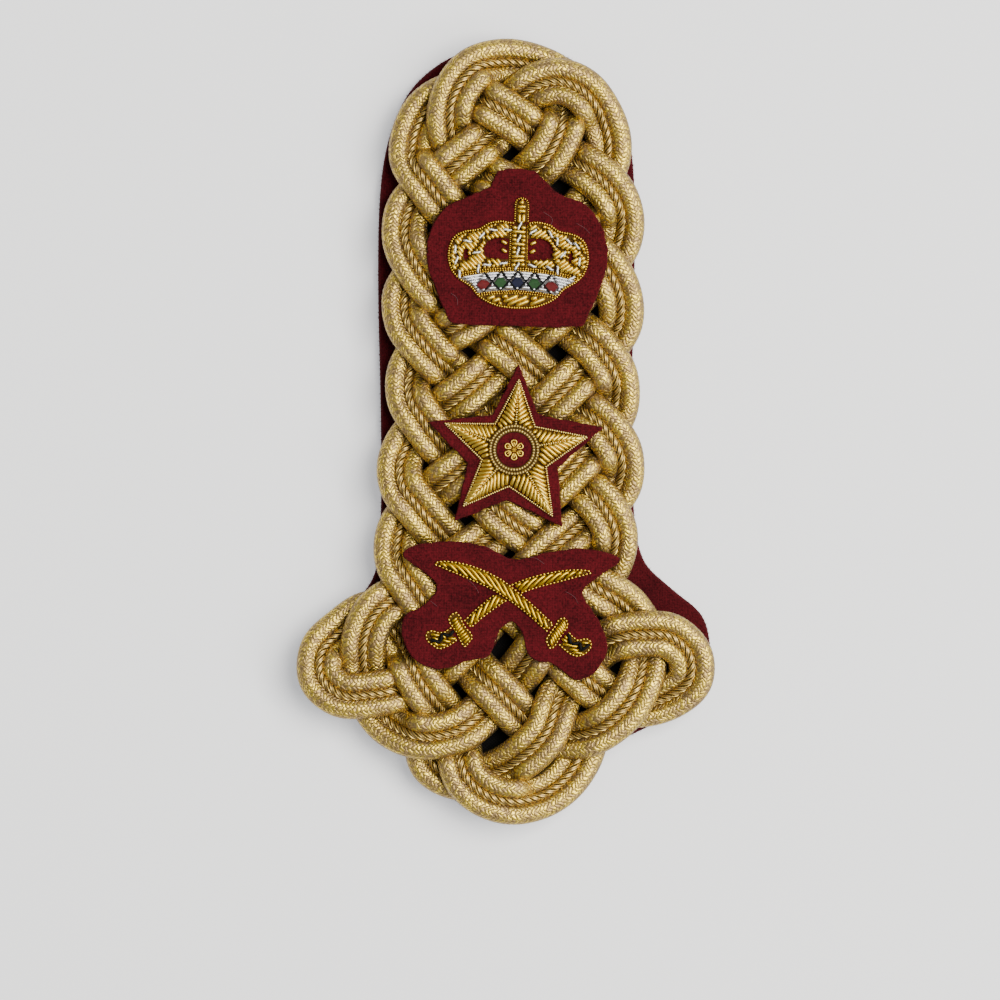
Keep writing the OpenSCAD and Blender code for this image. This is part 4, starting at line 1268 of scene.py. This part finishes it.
# Sabres. Blades are middle lines with widths. Purls are rows of start and end.
sabres = {
    "over": {
        "turned": -1, "rise": 0.15,
        "blade": [(8.9, -39.1, 2.2), (4, -34.7, 2.4), (-1.4, -30.7, 2.9), (-7, -28.1, 2.9),
                  (-11.6, -26.7, 1.9), (-13.8, -26.4, 0.8)],
        "guard": [(11.8, -37.3), (12.35, -38.0), (12.4, -38.9), (11.9, -39.7), (11.1, -40.8), (10.7, -41.5),
                  (10.3, -42.2), (9.9, -42.8), (9.1, -43.3), (8.5, -42.4), (8.3, -41.5), (8.65, -40.8),
                  (9.1, -40.1), (10, -38.9), (10.4, -38.2), (10.9, -37.5)],
        "guardPurls": [(11.4, -37.7, 12.2, -38.9), (10.9, -38.4, 12.0, -39.7), (10.35, -39.0, 11.5, -40.3),
                       (9.9, -39.7, 10.8, -41.1), (9.35, -40.4, 10.2, -41.8), (9.0, -41.3, 9.5, -42.6)],
        "grip": [(12.9, -40.3), (13.4, -40.9), (14.5, -41.7), (15.4, -41.5), (16.1, -41.4), (16.7, -41.6),
                 (17.1, -42.2), (17.1, -42.9), (16.7, -43.6), (15.8, -44.4), (14.4, -44.8), (13.1, -44.4),
                 (11.9, -43.5), (10.9, -42.6)],
        "gripPurls": [(11.8, -40.9, 12.6, -41.3), (11.3, -41.5, 12.6, -41.9), (11.5, -42.5, 14.7, -42.9),
                      (12.8, -43.5, 14.7, -43.6), (13.4, -44.1, 15.6, -44.2), (13.6, -42.2, 14.6, -42.1),
                      (15.1, -42.3, 16.8, -42.1), (15.4, -43.2, 16.4, -42.8)],
        "wrap": [(12.6, -40.3), (13.2, -42.5), (14.9, -42.1), (15.2, -43.7), (16.9, -42.5)],
    },
    "under": {
        "turned": 1, "rise": 0.0,
        "blade": [(-7.4, -38.4, 2.2), (-4.6, -35.9, 2.4), (0, -32.6, 2.6), (5, -30.4, 2.6),
                  (10.5, -29, 2.4), (14.5, -28.3, 1.7), (17, -28.1, 0.8)],
        "guard": [(-9.8, -36.2), (-10.6, -36.6), (-11.1, -37.3), (-11.1, -38.0), (-10.6, -38.7),
                  (-10.1, -39.4), (-9.5, -40.4), (-9.0, -41.4), (-8.6, -42.3), (-8.0, -42.9),
                  (-7.2, -42.0), (-6.7, -41.4), (-6.7, -40.7), (-7.1, -40.0), (-7.7, -39.4),
                  (-8.2, -38.7), (-8.6, -38.0), (-9.0, -37.0)],
        "guardPurls": [(-9.6, -37.0, -10.4, -38.1), (-9.3, -37.8, -9.9, -39.1), (-8.8, -38.4, -9.7, -39.9),
                       (-8.2, -39.3, -9.2, -40.7), (-7.5, -40.2, -8.8, -41.5), (-7.1, -40.9, -8.0, -42.2)],
        "grip": [(-10.9, -39.3), (-11.6, -39.8), (-12.2, -40.1), (-13.7, -40.1), (-14.3, -39.8),
                 (-15.0, -39.9), (-15.5, -40.2), (-15.7, -40.8), (-15.6, -41.4), (-15.1, -42.1),
                 (-13.9, -43.0), (-13.2, -43.3), (-12.4, -43.2), (-10.9, -42.5), (-9.8, -41.7)],
        "gripPurls": [(-14.8, -40.6, -12.9, -40.6), (-14.5, -41.3, -13.2, -41.4),
                      (-14.4, -42.1, -13.2, -42.6), (-13.2, -42.6, -11.7, -42.5),
                      (-12.7, -40.8, -11.7, -41.1), (-11.4, -41.4, -9.7, -41.2),
                      (-12.7, -41.7, -10.8, -41.9)],
        "wrap": [(-10.2, -39.7), (-11.1, -40.8), (-12.5, -40.3), (-12.9, -42.0), (-14.9, -41.6)],
    },
    "edge": 0.2, "purlSize": 0.7, "slant": 70.0, "bladeStep": 1.7, "dome": 0.4, "bladeRise": 0.05,
    "heelTip": (1.1, 0.9), "farthest": (0.3, 0.5),  # from the blade's two ends: a purl's middle, its ends
    "beadSize": 0.42, "beadPitch": 0.74, "beadLong": 1.35, "hiltPitch": 0.68,
    "hiltPurl": {"size": 0.6, "arch": 0.16, "bend": 0.08}, "hiltRise": 0.1,
    "wrapSize": 0.64, "wrapRise": 0.42, "wrapDome": 0.1, "purlInset": 0.55, "thinnest": 0.12,
    "padInset": 0.35, "padAngle": -35.0, "coverMore": 0.25,
}


def bladeLines(blade, turned, rows=40):
    # Middle lines of purls that cross the blade aslant: along the way by the slant's tangent times
    # the half width, and across from one side to the other as a sine
    path = lineAt(blade, 0.1)
    length = runTo(path[:, :2])
    left = sideways(path[:, :2])

    def halfAt(where):
        return np.maximum(np.interp(where, length, path[:, 2]) / 2 - sabres["purlInset"], sabres["thinnest"])

    heel, tip = sabres["heelTip"]
    first, last = sabres["farthest"]
    at = np.arange(heel, length[-1] - tip, sabres["bladeStep"])[:, None]
    share = np.linspace(-1, 1, rows)
    run = halfAt(at) * np.tan(np.radians(sabres["slant"]))
    where = np.clip(at + run * share, first, length[-1] - last)
    aside = turned * halfAt(where) * np.sin(share * np.pi / 2)
    return np.stack([np.interp(where, length, path[:, k]) + aside * np.interp(where, length, left[:, k])
                     for k in (0, 1)], -1)


def outsideParts(lines, ring, rows=12):
    # The stretches of each line that lie outside a closed line, each as evenly many rows
    parts = []
    hidden = insideRing(lines.reshape(-1, 2), ring).reshape(lines.shape[:2])
    for line, covered in zip(lines, hidden):
        edge = np.diff(np.concatenate([[1], covered.astype(int), [1]]))
        for first, last in zip(np.nonzero(edge == -1)[0], np.nonzero(edge == 1)[0] - 1):
            if last - first > 5:
                at = np.linspace(first, last, rows)
                parts.append(np.stack([np.interp(at, np.arange(len(line)), line[:, k]) for k in (0, 1)], 1))
    return np.array(parts)


def makeSabre(name):
    parts = sabres[name]
    beading = {"size": sabres["beadSize"], "long": sabres["beadLong"]}
    makeBlade(name, parts, stitchFloor + parts["rise"], beading)
    for part in ("guard", "grip"):
        closed = part == "guard"
        rows = np.array(parts[part + "Purls"])
        if closed:  # evenly many more across the same rows
            at = np.linspace(0, len(rows) - 1, 9)
            rows = np.stack([np.interp(at, range(len(rows)), side) for side in rows.T], 1)
        line = closedCurve(np.array(parts[part]), 4) if closed else lineAt(parts[part], 0.1)
        ring = line if closed else np.concatenate([line, line[:1]])
        blocks = [purlBlock(rows[:, :2], rows[:, 2:], stitchFloor + sabres["hiltRise"], **sabres["hiltPurl"]),
                  joined(beadLine(line, stitchFloor, closed, pitch=sabres["hiltPitch"], **beading)),
                  padding(lambda points: insideRing(points, ring), 0.0, 30, None, 2, centre=ring.mean(0))]
        if not closed:
            wrap = np.array(parts["wrap"])
            over = stitchFloor + sabres["wrapRise"]
            blocks.append(purlBlock(wrap[:-1], wrap[1:], over, 3, sabres["wrapSize"], sabres["wrapDome"]))
        makePiece(name + "_" + part + "_work", blocks, ["bladeGold", "beadGold", "padGold", "silkBlack"],
                  "bullion_gold", "sabre_" + name + "_" + part)


def makeBlade(name, parts, floor, beading):
    edge = ribbonEdge(parts["blade"], -sabres["edge"])
    edgeBeads = beadLine(edge, floor, True, pitch=sabres["beadPitch"], **beading)
    cover = np.array([(90.0, 90.0), (91.0, 90.0), (90.0, 91.0)])  # covers nothing, far off
    if name == "under":  # it stops on each side of the upper blade
        cover = ribbonEdge(sabres["over"]["blade"], sabres["coverMore"])
        edgeBeads = edgeBeads[~insideRing(edgeBeads.mean(axis=(1, 2))[:, :2], cover)]
    inner = ribbonEdge(parts["blade"], -sabres["padInset"])
    lines = outsideParts(bladeLines(parts["blade"], parts["turned"]), cover)
    pad = padding(lambda points: insideRing(points, inner) & ~insideRing(points, cover),
                  sabres["padAngle"] * parts["turned"], 29, None, 2, rise=parts["rise"],
                  centre=np.mean(parts["blade"], axis=0)[:2])
    makePiece(name + "_blade_work",
              [wires(lines, floor + sabres["bladeRise"], sabres["purlSize"], sabres["dome"]),
               joined(edgeBeads), pad],
              ["bladeGold", "beadGold", "padGold"], "bullion_gold", "sabre_" + name + "_blade")


makeSabre("under")
makeSabre("over")
print("sabres made")

# A few stray hairs caught on the felt
lint = {
    "size": 0.055, "pitch": 0.2, "sunk": 0.02, "dome": 0.05,
    "hairs": [
        [(7.6, 43.8), (9.4, 42.4), (8.9, 40.9), (7.4, 39.6)], [(14.2, 41.5), (15.8, 40.6), (17.0, 39.4)],
        [(-7.6, -29.4), (-6.1, -30.8), (-5.2, -32.3)], [(12.0, -31.9), (13.8, -33.0), (14.6, -34.4)],
        [(-10.8, 27.6), (-9.6, 26.6), (-9.5, 25.1)], [(2.6, -10.5), (3.4, -9.6), (3.2, -8.4)],
        [(4.4, -24.9), (6.3, -25.4), (7.9, -26.5)], [(-14.9, -33.8), (-13.5, -34.9)],
    ],
}

floor = nodeBox("crown_patch")[1][2] - lint["sunk"]
hairs = [wires(lineAt(hair, lint["pitch"])[None], floor, lint["size"], lint["dome"])
         for hair in lint["hairs"]]
makePiece("lint", hairs, ["lintPale"], "felt_red")
